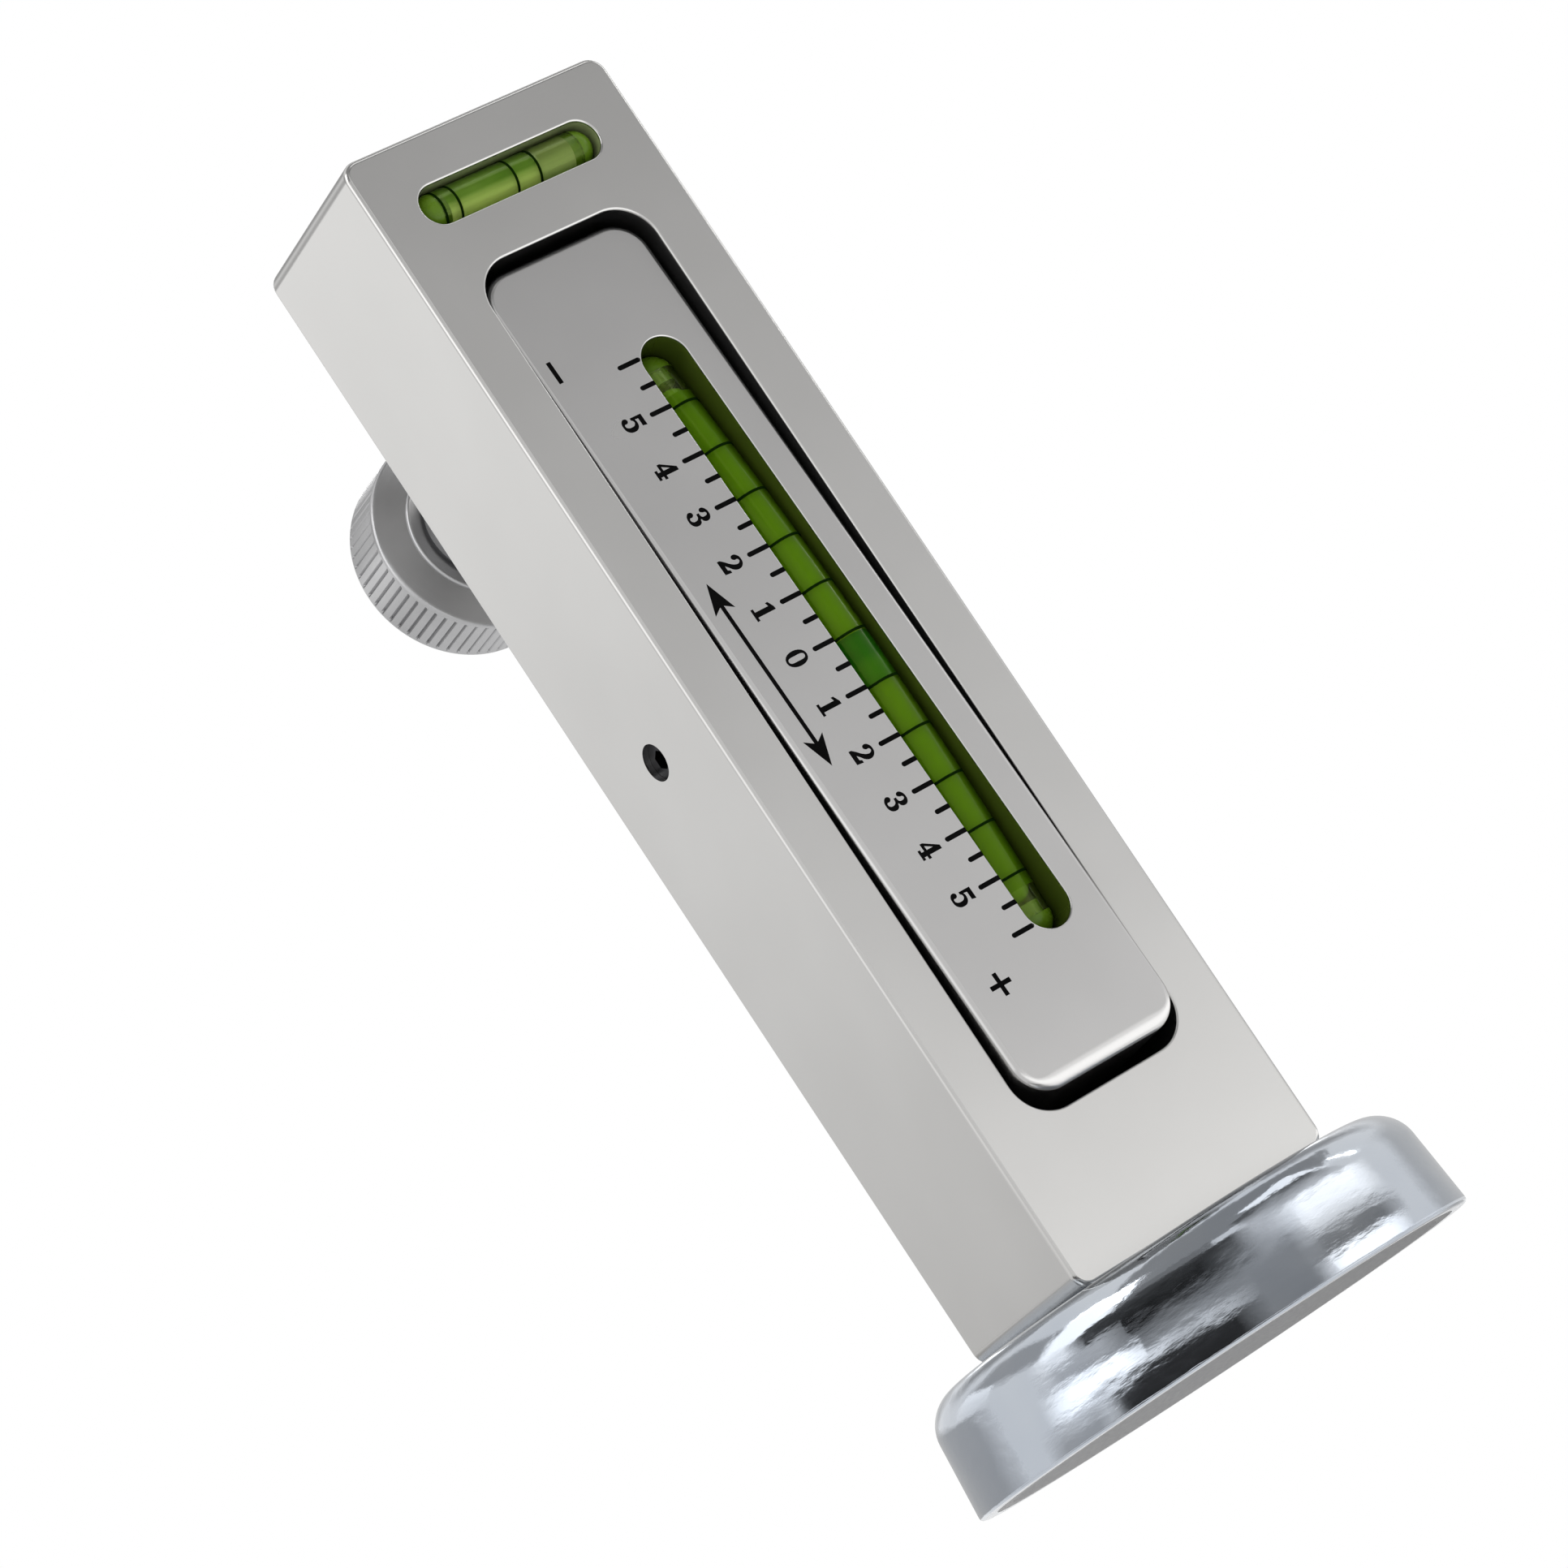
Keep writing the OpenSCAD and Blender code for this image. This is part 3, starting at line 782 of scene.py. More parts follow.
def make_effects() -> None:
    """Build every shared effect's node group once."""
    for build in (grain_group, cloud_group, turned_group, streak_group, recess_group):
        build()


class Shader(NodeBench):
    """One material, with a Principled BSDF of its own."""

    def __init__(self, name: str) -> None:
        """Make the material under this name.

        Args:
            name: Its name.
        """
        self.material = bpy.data.materials.new(name)
        self.material.use_nodes = True
        super().__init__(self.material.node_tree)
        self.tree.nodes.clear()
        self.surface = self.add("BsdfPrincipled")
        self.output = self.add("OutputMaterial")
        self.feed(self.output.inputs["Surface"], self.surface.outputs[0])

    def set(self, **sources: object) -> None:
        """Feed the surface's sockets; a name's underscores stand for spaces."""
        for name, source in sources.items():
            self.feed(self.surface.inputs[name.replace("_", " ")], source)

    def effect(self, effect: Effect, **sources: object) -> NodeSocket:
        """Place a shared effect.

        Args:
            effect: The effect.
            **sources: Its inputs by name.

        Returns:
            Its output.
        """
        node = self.add("Group")
        node.node_tree = bpy.data.node_groups[effect.value]
        for name, source in sources.items():
            self.feed(node.inputs[name], source)
        return node.outputs[0]

    def glow(self, strength: object) -> NodeSocket:
        """Add a white Emission shader.

        Args:
            strength: Its strength.

        Returns:
            The shader.
        """
        node = self.add("Emission")
        self.feed(node.inputs["Color"], rgba(WHITE))
        self.feed(node.inputs["Strength"], strength)
        return node.outputs[0]

    def bump(
        self, height: object, distance: float, strength: float = 1.0, under: object = None
    ) -> NodeSocket:
        """Add a Bump node.

        Args:
            height: The height map.
            distance: How high 1 in the map is.
            strength: How much of it is used.
            under: A normal that it builds on.

        Returns:
            The new normal.
        """
        node = self.add("Bump")
        self.feed(node.inputs["Height"], height)
        self.feed(node.inputs["Distance"], distance)
        self.feed(node.inputs["Strength"], strength)
        if under is not None:
            self.feed(node.inputs["Normal"], under)
        return node.outputs["Normal"]


@dataclass(frozen=True)
class SatinMetal:
    """Plated metal with a fine grain and soft blotches.

    Attributes:
        colour: Its colour.
        shade: Its colour where it is duller.
        rough: Its roughness.
        spread: How far the roughness swings.
        grain_scale: How fine its scratches are.
        grain_depth: How deep they are.
        ripple: The height of the slow waves left by polishing.
        ripple_scale: How short they are.
        ripple_stretch: Their scale along Z, over the scale across it.
        cloud_scale: How fine its blotches are.
        recesses: Its recesses, with light and shade painted on their walls and floors.
    """

    colour: Colour
    shade: Colour
    rough: float = 0.22
    spread: float = 0.06
    grain_scale: float = 900.0
    grain_depth: float = 0.004 * MM
    ripple: float = 0.0
    ripple_scale: float = 42.0
    ripple_stretch: float = 0.45
    cloud_scale: float = 30.0
    recesses: tuple[Recess, ...] = ()

    def material(self, name: str) -> Material:
        """Build the material.

        Args:
            name: The material's name.

        Returns:
            The material.
        """
        make = Shader(name)
        vector = make.place()
        cloud = make.effect(Effect.CLOUD, Vector=vector, Scale=self.cloud_scale)
        grain = make.effect(Effect.GRAIN, Vector=vector, Scale=self.grain_scale)
        normal = make.bump(grain, self.grain_depth)
        if self.ripple:
            along = make.place(scale=(1.0, 1.0, self.ripple_stretch))
            waves = make.noise(along, self.ripple_scale, 1.0, 0.4)
            normal = make.bump(waves, self.ripple, under=normal)
        rough = make.math("MULTIPLY_ADD", cloud, self.spread, self.rough)
        colour = make.mix(cloud, rgba(self.shade), rgba(self.colour))
        unpainted = None
        # Inside each recess the colour is replaced by painted shade (the bar's pocket) and by a
        # painted reflection of the spirit (the vials' windows), and the surface stops being
        # metallic.
        for recess in self.recesses:
            mask = make.effect(
                Effect.RECESS,
                Vector=make.place(recess.centre, recess.turn),
                Half=recess.half,
                Depth=recess.depth,
            )
            colour = make.mix(mask, colour, rgba(recess.colour))
            clear = make.math("SUBTRACT", 1.0, mask)
            unpainted = clear if unpainted is None else make.math("MULTIPLY", unpainted, clear)
        make.set(
            Base_Color=colour,
            Metallic=1.0 if unpainted is None else unpainted,
            Roughness=rough,
            Normal=normal,
        )
        return make.material


@dataclass(frozen=True)
class TurnedMetal:
    """Metal turned on a lathe, with fine rings round an axis.

    Attributes:
        colour: Its colour.
        centre: A point on the axis.
        turn: The rotation that lays the axis along Z.
        rough: Its roughness.
        spread: How far the roughness swings.
        pitch: How close its rings lie.
        depth: How deep they are.
        cloud_scale: How fine its blotches are.
        dull: How bright they are, over the rest.
    """

    colour: Colour
    centre: Point = (0.0, 0.0, 0.0)
    turn: Point = (0.0, 0.0, 0.0)
    rough: float = 0.28
    spread: float = 0.12
    pitch: float = 4000.0
    depth: float = 0.006 * MM
    cloud_scale: float = 120.0
    dull: float = 0.88

    def material(self, name: str) -> Material:
        """Build the material.

        Args:
            name: The material's name.

        Returns:
            The material.
        """
        make = Shader(name)
        vector = make.place(self.centre, self.turn)
        rings = make.effect(Effect.TURNED, Vector=vector, Pitch=self.pitch)
        cloud = make.effect(Effect.CLOUD, Vector=vector, Scale=self.cloud_scale)
        dull = tuple(self.dull * c for c in self.colour)
        make.set(
            Base_Color=make.mix(cloud, rgba(dull), rgba(self.colour)),
            Metallic=1.0,
            Roughness=make.math("MULTIPLY_ADD", rings, self.spread, self.rough),
            Normal=make.bump(rings, self.depth),
        )
        return make.material


@dataclass(frozen=True)
class PlatedCup:
    """Bright plating over pressed steel, whose dimples break up what it mirrors.

    Attributes:
        colour: Its colour.
        blue: The bluish tone of its thinner patches.
        dimple: The height of its broad dimples.
        dimple_scale: How fine they are round the cup and along its axis.
        streak: The height of its fine streaks.
        streak_scale: How fine they are, the same two ways.
        cloud_scale: How fine its blotches are.
        rough: Its least and greatest roughness.
    """

    colour: Colour
    blue: Colour
    dimple: float = 0.20 * MM
    dimple_scale: tuple[float, float] = (2.0, 170.0)
    streak: float = 0.04 * MM
    streak_scale: tuple[float, float] = (9.0, 900.0)
    cloud_scale: float = 55.0
    rough: tuple[float, float] = (0.06, 0.15)

    def material(self, name: str) -> Material:
        """Build the material.

        Args:
            name: The material's name.

        Returns:
            The material.
        """
        make = Shader(name)
        vector = make.place()
        broad, fine = (
            make.effect(Effect.STREAK, Vector=vector, Around=around, Along=along)
            for around, along in (self.dimple_scale, self.streak_scale)
        )
        cloud = make.effect(Effect.CLOUD, Vector=vector, Scale=self.cloud_scale)
        normal = make.bump(fine, self.streak, under=make.bump(broad, self.dimple))
        make.set(
            Base_Color=make.mix(cloud, rgba(self.blue), rgba(self.colour)),
            Metallic=1.0,
            Roughness=make.sway(fine, *self.rough),
            Normal=normal,
        )
        return make.material


@dataclass(frozen=True)
class Dielectric:
    """Paint, resin, plastic or ceramic with a fine tooth.

    Attributes:
        colour: Its colour.
        fleck: The colour of its lighter flecks.
        rough: Its roughness.
        tooth: The height of its surface tooth.
        scale: How fine it is.
        cloud_share: The flecks' scale, over the tooth's.
        spread: How far the roughness swings to each side.
        gloss: How much it mirrors; 0.5 is plain plastic.
    """

    colour: Colour
    fleck: Colour
    rough: float = 0.5
    tooth: float = 0.01 * MM
    scale: float = 1500.0
    cloud_share: float = 0.125
    spread: float = 0.08
    gloss: float = 0.5

    def material(self, name: str) -> Material:
        """Build the material.

        Args:
            name: The material's name.

        Returns:
            The material.
        """
        make = Shader(name)
        vector = make.place()
        speck = make.noise(vector, self.scale, 3.0, 0.6)
        cloud_scale = self.scale * self.cloud_share
        cloud = make.effect(Effect.CLOUD, Vector=vector, Scale=cloud_scale)
        make.set(
            Base_Color=make.mix(cloud, rgba(self.colour), rgba(self.fleck)),
            Roughness=make.sway(speck, self.rough - self.spread, self.rough + self.spread),
            Normal=make.bump(speck, self.tooth),
            Specular_IOR_Level=self.gloss,
        )
        return make.material


@dataclass(frozen=True)
class ClearGlass:
    """Drawn glass with a faint tint.

    Attributes:
        tint: The glass's colour.
        gleam: The colour of what its surface mirrors.
        ior: Its index of refraction.
        draw_scale: How fine its drawing lines are.
        draw_stretch: Their scale along Z, over the scale across it.
        draw_rough: How rough they are at most.
    """

    tint: Colour
    gleam: Colour
    ior: float = 1.47
    draw_scale: float = 500.0
    draw_stretch: float = 0.05
    draw_rough: float = 0.03

    def material(self, name: str) -> Material:
        """Build the material.

        Args:
            name: The material's name.

        Returns:
            The material.
        """
        make = Shader(name)
        along = make.place(scale=(1.0, 1.0, self.draw_stretch))
        draw = make.noise(along, self.draw_scale, 1.0)
        make.set(
            Base_Color=rgba(self.tint),
            Metallic=0.0,
            Roughness=make.sway(draw, 0.0, self.draw_rough),
            IOR=self.ior,
            Specular_Tint=rgba(self.gleam),
            Transmission_Weight=1.0,
        )
        return make.material


@dataclass(frozen=True)
class VialFluid:
    """Dyed spirit behind glass, with light and shade painted into its colour as a shift in tone
    across the vial.

    Attributes:
        low: Its colour on the low side of the axis.
        high: Its colour on the high side.
        axis: The axis that the painted light and shade shift along: X, Y or Z.
        middle: Where along the axis the two colours meet.
        fade: How far they run into each other.
        cloud_scale: How fine its blotches are.
        cloud_share: How much they count in the tone.
        rough: Its least and greatest roughness.
    """

    low: Colour
    high: Colour
    axis: str
    middle: float
    fade: float
    cloud_scale: float = 90.0
    cloud_share: float = 0.12
    rough: tuple[float, float] = (0.3, 0.4)

    def material(self, name: str) -> Material:
        """Build the material.

        Args:
            name: The material's name.

        Returns:
            The material.
        """
        make = Shader(name)
        vector = make.place()
        # Painted light and shade: the colour runs from the low tone to the high one along the
        # axis, with blotches mixed in.
        start, end = self.middle - self.fade / 2, self.middle + self.fade / 2
        side = make.span(make.split(vector)[self.axis], start, end, 0.0, 1.0)
        cloud = make.effect(Effect.CLOUD, Vector=vector, Scale=self.cloud_scale)
        side = make.math("MULTIPLY", side, 1 - self.cloud_share)
        tone = make.math("MULTIPLY_ADD", cloud, self.cloud_share, side)
        make.set(
            Base_Color=make.mix(tone, rgba(self.low), rgba(self.high)),
            Roughness=make.span(cloud, 0.0, 1.0, *self.rough),
            Specular_IOR_Level=0.0,
        )
        return make.material


# ---- Studio ----


@dataclass(frozen=True)
class Camera:
    """The camera, where the photograph was taken from.

    Attributes:
        place: Its place.
        aim: The way that it looks.
        roll: How far it is turned about that way.
        lens: Its focal length in millimetres.
        sensor: Its sensor's width in millimetres.
        nearest: How near the nearest thing that it sees may be.
    """

    place: Point = (-0.331462, -0.517858, -0.017685)
    aim: Point = (0.526282, 0.837015, 0.149776)
    roll: float = math.radians(-33.54)
    lens: float = 136.29
    sensor: float = 36.0
    nearest: float = 10.0 * MM

    def build(self) -> None:
        """Add the camera and make it the scene's."""
        deselect_all()
        bpy.ops.object.camera_add(location=self.place)
        camera = bpy.context.object
        camera.name = "camera"
        level = Vector(self.aim).to_track_quat("-Z", "Y").to_matrix()
        camera.rotation_euler = (level @ Matrix.Rotation(self.roll, 3, "Z")).to_euler()
        camera.data.lens = self.lens
        camera.data.sensor_width = self.sensor
        camera.data.clip_start = self.nearest
        bpy.context.scene.camera = camera


@dataclass(frozen=True)
class Lamp:
    """A soft square lamp that faces the gauge.

    Attributes:
        name: Its name.
        place: Its centre.
        side: The length of its sides.
        power: Its power in watts.
        target: The point that it faces.
    """

    name: str
    place: Point
    side: float
    power: float
    target: Point = (0.0, 0.0, 0.075)

    def build(self) -> None:
        """Add the lamp."""
        way = Vector(self.target) - Vector(self.place)
        turn = way.to_track_quat("-Z", "Y").to_euler()
        deselect_all()
        bpy.ops.object.light_add(type="AREA", location=self.place, rotation=turn)
        lamp = bpy.context.object
        lamp.name = self.name
        lamp.data.size = self.side
        lamp.data.energy = self.power


@dataclass(frozen=True)
class Card:
    """A card that only shows in the metal's reflections, and faces the gauge.

    Attributes:
        name: Its name.
        bearing: The way to it from the bar, in degrees from X towards Y.
        distance: How far from the bar it stands.
        width: Its width.
        foot: How high its lower edge is.
        head: How high its upper edge is.
        low: The brightness of its lower edge; 1 is white.
        high: The brightness of its upper edge.
        soft: The share of its width and height over which each edge fades out.
        lean: How far it leans back from upright; a quarter turn lays it flat.
    """

    name: str
    bearing: float
    distance: float
    width: float
    foot: float
    head: float
    low: float
    high: float
    soft: float = 0.2
    lean: float = 0.0

    def build(self) -> None:
        """Add the card."""
        way = math.radians(self.bearing)
        place = (
            self.distance * math.cos(way),
            self.distance * math.sin(way),
            (self.foot + self.head) / 2,
        )
        deselect_all()
        bpy.ops.mesh.primitive_plane_add(
            size=1, location=place, rotation=(math.pi / 2 + self.lean, 0, way + math.pi / 2)
        )
        card = bpy.context.object
        card.name = self.name
        card.scale = (self.width, self.head - self.foot, 1.0)
        make = Shader(self.name)
        make.tree.nodes.remove(make.surface)
        face = make.split(make.place())
        level = make.span(face["Y"], -0.5, 0.5, self.low, self.high)
        clear = make.add("BsdfTransparent").outputs[0]
        shown = make.mix_shader(self.fade(make, face), clear, make.glow(level))
        make.feed(make.output.inputs["Surface"], shown)
        card.data.materials.append(make.material)
        for ray in ("camera", "diffuse", "shadow", "transmission", "volume_scatter"):
            setattr(card, "visible_" + ray, False)

    def fade(self, make: Shader, place: bpy.types.bpy_prop_collection) -> NodeSocket:
        """Return how solid the card is, from its edges inwards.

        Args:
            make: The card's material.
            place: The X and Y outputs of its coordinates.

        Returns:
            1 inside, falling to 0 at the edges.
        """
        solid = 1.0
        for axis in ("X", "Y"):
            away = make.math("ABSOLUTE", place[axis])
            side = make.span(away, 0.5 - self.soft, 0.5, 1.0, 0.0)
            solid = make.math("MULTIPLY", solid, side)
        return solid


@dataclass(frozen=True)
class Studio:
    """A white room: floor, world, lamps and the cards that the metal mirrors.

    Attributes:
        floor_gap: How far the floor lies below the magnet.
        floor_size: The floor's side.
        floor_tone: The floor's colour.
        floor_glow: The share of plain white in the floor where it is seen or mirrored.
        near: The floor doesn't show to a ray that starts nearer than this.
        ambient: The world's strength where it only lights.
        lamps: The soft lamps.
        cards: The cards.
    """

    floor_gap: float = 0.2 * MM
    floor_size: float = 4.0
    floor_tone: Colour = (0.92, 0.92, 0.92)
    floor_glow: float = 0.75
    near: float = 3.0 * MM
    ambient: float = 0.65
    lamps: tuple[Lamp, ...] = (
        Lamp("key_lamp", (-0.62, -0.2, 0.75), 0.5, 3.0),
        Lamp("fill_lamp", (0.5, -0.5, 0.7), 0.5, 1.0),
    )
    cards: tuple[Card, ...] = (
        Card("front_card", -58.0, 0.62, 0.66, -0.3, 0.68, 1.6, 0.0, 0.08),
        Card("apron_card", -58.0, 0.61, 0.66, -0.3, 0.12, 1.45, 1.45),
        Card("left_card", 122.0, 0.62, 0.36, -0.3, 0.4, 0.245, 1.5, 0.06),
        Card("right_card", 30.0, 0.6, 0.75, -0.3, 0.3, 0.5, 0.7),
        Card("back_card", 66.0, 0.7, 0.4, -0.3, 0.3, 1.3, 0.4),
        Card("hub_card", 58.0, 0.35, 0.2, 0.15, 0.3, 4.0, 4.0),
        Card("wing_card", 141.0, 1.0, 1.6, 0.45, 1.6, 0.5, 0.5),
        Card("rear_card", 58.0, 1.0, 1.6, 0.45, 1.6, 0.42, 0.42),
        Card("glow_card", -170.0, 0.5, 0.42, 0.02, 1.0, 1.9, 1.9),
        Card("ceiling_card", -75.0, 0.6, 2.0, 0.3, 1.5, 0.36, 0.36, 0.05, math.pi / 2),
        Card("hood_card", -125.0, 1.0, 1.02, 0.43, 2.2, 0.25, 0.3, 0.04),
        Card("vial_card", -17.0, 0.5, 0.035, 0.165, 0.42, 8.0, 8.0, 0.3),
        Card("floor_card", -58.0, 0.19, 0.5, -0.17, 0.171, 1.9, 1.9, 0.15, math.pi / 2),
        Card("heel_card", 125.0, 0.037, 0.064, -0.002, 0.0138, 0.5, 0.55, 0.15),
        Card("toe_card", -161.0, 0.0366, 0.019, -0.004, 0.0052, 0.5, 0.6, 0.3),
        Card("wedge_card", -150.0, 0.0365, 0.028, 0.0044, 0.0078, 2.4, 2.4, 0.35),
        Card("brow_card", -152.0, 0.0365, 0.022, 0.0074, 0.0102, 0.6, 0.8, 0.3),
        Card("skirt_card", -126.0, 0.037, 0.041, -0.004, 0.0051, 0.01, 0.05, 0.12),
        Card("cuff_card", -127.0, 0.037, 0.042, 0.005, 0.0098, 0.6, 0.01, 0.2),
        Card("collar_card", -127.0, 0.0368, 0.044, 0.0084, 0.0138, 0.0, 0.12, 0.15),
        Card("ramp_card", -100.0, 0.0365, 0.02, -0.004, 0.0112, 0.3, 0.45, 0.3),
        Card("spark_card", -75.0, 0.0365, 0.026, 0.0006, 0.004, 2.2, 2.2, 0.3),
        Card("stripe_card", -75.0, 0.0366, 0.034, 0.0034, 0.0066, 0.25, 0.35, 0.3),
        Card("streak_card", -75.0, 0.0365, 0.03, 0.0064, 0.0112, 1.3, 2.2, 0.3),
    )

    def build(self) -> None:
        """Add the floor, the world, the lamps and the cards."""
        self.lay_floor()
        self.light_world()
        for part in (*self.lamps, *self.cards):
            part.build()
        bpy.context.scene.view_settings.view_transform = "Standard"

    def lay_floor(self) -> None:
        """Lay a white floor that doesn't show from below."""
        deselect_all()
        bpy.ops.mesh.primitive_plane_add(size=self.floor_size, location=(0, 0, -self.floor_gap))
        floor = claim("floor")
        make = Shader("floor_white")
        make.set(Base_Color=rgba(self.floor_tone), Roughness=0.9)
        path = make.add("LightPath").outputs
        seen = make.math("MAXIMUM", path["Is Camera Ray"], path["Is Glossy Ray"])
        share = make.math("MULTIPLY", seen, self.floor_glow)
        shown = make.mix_shader(share, make.surface.outputs[0], make.glow(1.0))
        near = make.math("LESS_THAN", path["Ray Length"], self.near)
        hidden = make.math("MAXIMUM", make.add("NewGeometry").outputs["Backfacing"], near)
        clear = make.add("BsdfTransparent").outputs[0]
        result = make.mix_shader(hidden, shown, clear)
        make.feed(make.output.inputs["Surface"], result)
        floor.data.materials.append(make.material)

    def light_world(self) -> None:
        """Make a white world that is plain white wherever it is seen."""
        world = bpy.data.worlds.new("white_room")
        bpy.context.scene.world = world
        world.use_nodes = True
        make = NodeBench(world.node_tree)
        make.tree.nodes.clear()
        path = make.add("LightPath").outputs
        seen = make.math("MAXIMUM", path["Is Camera Ray"], path["Is Glossy Ray"])
        seen = make.math("MAXIMUM", seen, path["Is Transmission Ray"])
        back = make.add("Background")
        make.feed(back.inputs["Color"], rgba(WHITE))
        make.feed(back.inputs["Strength"], make.span(seen, 0.0, 1.0, self.ambient, 1.0))
        make.feed(make.add("OutputWorld").inputs["Surface"], back.outputs[0])


# ---- Bar and magnet ----


@dataclass
class Bar:
    """The bar: a rounded block with its pocket, the cross level's window and its holes."""

    low: Vector
    high: Vector
    pin_z: float
    knob_z: float
    corner_r: float = 2.0 * MM
    edge_r: float = 0.6 * MM
    rim_r: float = 0.25 * MM
    # The pocket's walls and floor get painted shade, near black, and the cross level's window
    # walls a painted reflection of its green spirit, from a little below the face.
    coat_start: float = 0.3 * MM
    pocket_coat: Colour = (0.012, 0.012, 0.012)
    level_coat: Colour = (0.24, 0.28, 0.13)
    pocket_side: float = 6.3 * MM
    pocket_back: float = 4.0 * MM
    pocket_top: float = 16.2 * MM
    pocket_bottom: float = 16.9 * MM
    pocket_r: float = 4.6 * MM
    level_drop: float = 8.1 * MM
    level_size: tuple[float, float] = (23.6 * MM, 4.7 * MM)
    level_depth: float = 5.8 * MM
    pin_r: float = 1.52 * MM
    grub_r: float = 2.12 * MM
    grub_depth: float = 3.8 * MM
    spigot_r: float = 6.02 * MM

    def openings(self) -> list[Opening]:
        """Lay out what is sunk into the bar's face.

        Returns:
            The pocket and the cross level's window.
        """
        bottom = self.low.z + self.pocket_bottom
        top = self.high.z - self.pocket_top
        width = self.high.x - self.low.x - 2 * self.pocket_side
        back = self.high.y - self.pocket_back
        pocket = Opening(0.0, (bottom + top) / 2, width, top - bottom, self.pocket_r, back)
        level_w, level_h = self.level_size
        window = Opening(
            0.0,
            self.high.z - self.level_drop,
            level_w,
            level_h,
            ROUND_END * level_h,
            self.low.y + self.level_depth,
        )
        return [pocket, window]

    def recesses(self) -> tuple[Recess, ...]:
        """Lay out where light and shade are painted into the bar.

        Returns:
            The pocket's painted shade and the painted reflection in the cross level's window.
        """
        return tuple(
            opening.recess(self.low.y, self.rim_r, self.coat_start, colour)
            for opening, colour in zip(self.openings(), (self.pocket_coat, self.level_coat))
        )

    def build(self, finish: Material) -> None:
        """Model the bar and put it in its frame node's place.

        Args:
            finish: Its material.
        """
        size = self.high - self.low
        centre = (self.low + self.high) / 2
        obj = round_prism("bar_body", centre, tuple(size), self.corner_r, segments=8)
        with editing(obj):
            ends = (self.low.y, self.high.y)
            pick_edges(
                obj, lambda a, b: any(abs(a.y - y) < NEAR and abs(b.y - y) < NEAR for y in ends)
            )
            bevel(self.edge_r, segments=6)
        openings = self.openings()
        cut(obj, [o.cutter(self.low.y) for o in openings])
        soften_rims(obj, self.low.y, openings, self.rim_r, segments=3)
        reach = size.x + 2 * OVERRUN
        start = (self.low.x - OVERRUN, 0.0, self.pin_z)
        grub = self.grub_depth + OVERRUN
        far = (self.high.x - self.grub_depth, 0.0, self.pin_z)
        spigot = (0.0, self.high.y - self.pocket_back - OVERRUN, self.knob_z)
        cut(
            obj,
            [
                rod("pin_cutter", "X", self.pin_r, start, reach),
                rod("grub_cutter", "X", self.grub_r, start, grub),
                rod("grub_cutter", "X", self.grub_r, far, grub),
                rod("spigot_cutter", "Y", self.spigot_r, spigot, self.pocket_back + 2 * OVERRUN),
            ],
        )
        smooth(obj)
        dress(obj, "bar", finish)
        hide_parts("housing")


@dataclass
class MagnetCup:
    """The magnet's pressed steel cup."""

    rim_r: float
    height: float
    lean: float = math.radians(5)
    shoulder_r: float = 4.5 * MM
    rim_chamfer: float = 0.5 * MM
    wall: float = 2.0 * MM
    top: float = 2.2 * MM
    sides: int = 192

    def build(self, finish: Material) -> None:
        """Model the cup and put it in its frame node's place.

        Args:
            finish: Its material.
        """
        obj = rod("cup_shell", "Z", self.rim_r, (0, 0, 0), self.height, self.sides)
        narrow = (self.rim_r - self.height * math.tan(self.lean)) / self.rim_r
        side_angle = math.pi / 2 + self.lean
        with editing(obj):
            pick_faces(obj, lambda c, n: n.z > FACING)
            bpy.ops.transform.resize(value=(narrow, narrow, 1))
            top = self.height - NEAR
            pick_edges(obj, lambda a, b: a.z > top and b.z > top)
            bevel(self.shoulder_r / math.tan(side_angle / 2), segments=14)
            pick_edges(obj, lambda a, b: a.z < NEAR and b.z < NEAR)
            bevel(self.rim_chamfer, segments=3)
            pick_faces(obj, lambda c, n: n.z < -FACING and c.z < NEAR)
            bpy.ops.mesh.inset(thickness=self.wall - self.rim_chamfer)
            bpy.ops.mesh.extrude_region_move(
                TRANSFORM_OT_translate={"value": (0, 0, self.height - self.top)}
            )
            bpy.ops.transform.resize(value=(narrow, narrow, 1))
        smooth(obj)
        dress(obj, "bar", finish)
        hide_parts("magnet_cup")


# ---- Scale block ----


@dataclass(frozen=True)
class Glyph:
    """One sign of the scale, in a box one unit tall.

    Attributes:
        loops: Closed outlines; a point is its place and whether the outline is smooth there.
        width: The sign's width.
    """

    loops: tuple[tuple[tuple[float, float, bool], ...], ...]
    width: float


def corners(*points: tuple[float, float]) -> tuple[tuple[float, float, bool], ...]:
    """Make a stretch of an outline with straight lines between its points."""
    return tuple((x, y, False) for x, y in points)


def rounds(*points: tuple[float, float]) -> tuple[tuple[float, float, bool], ...]:
    """Make a smooth stretch of an outline."""
    return tuple((x, y, True) for x, y in points)


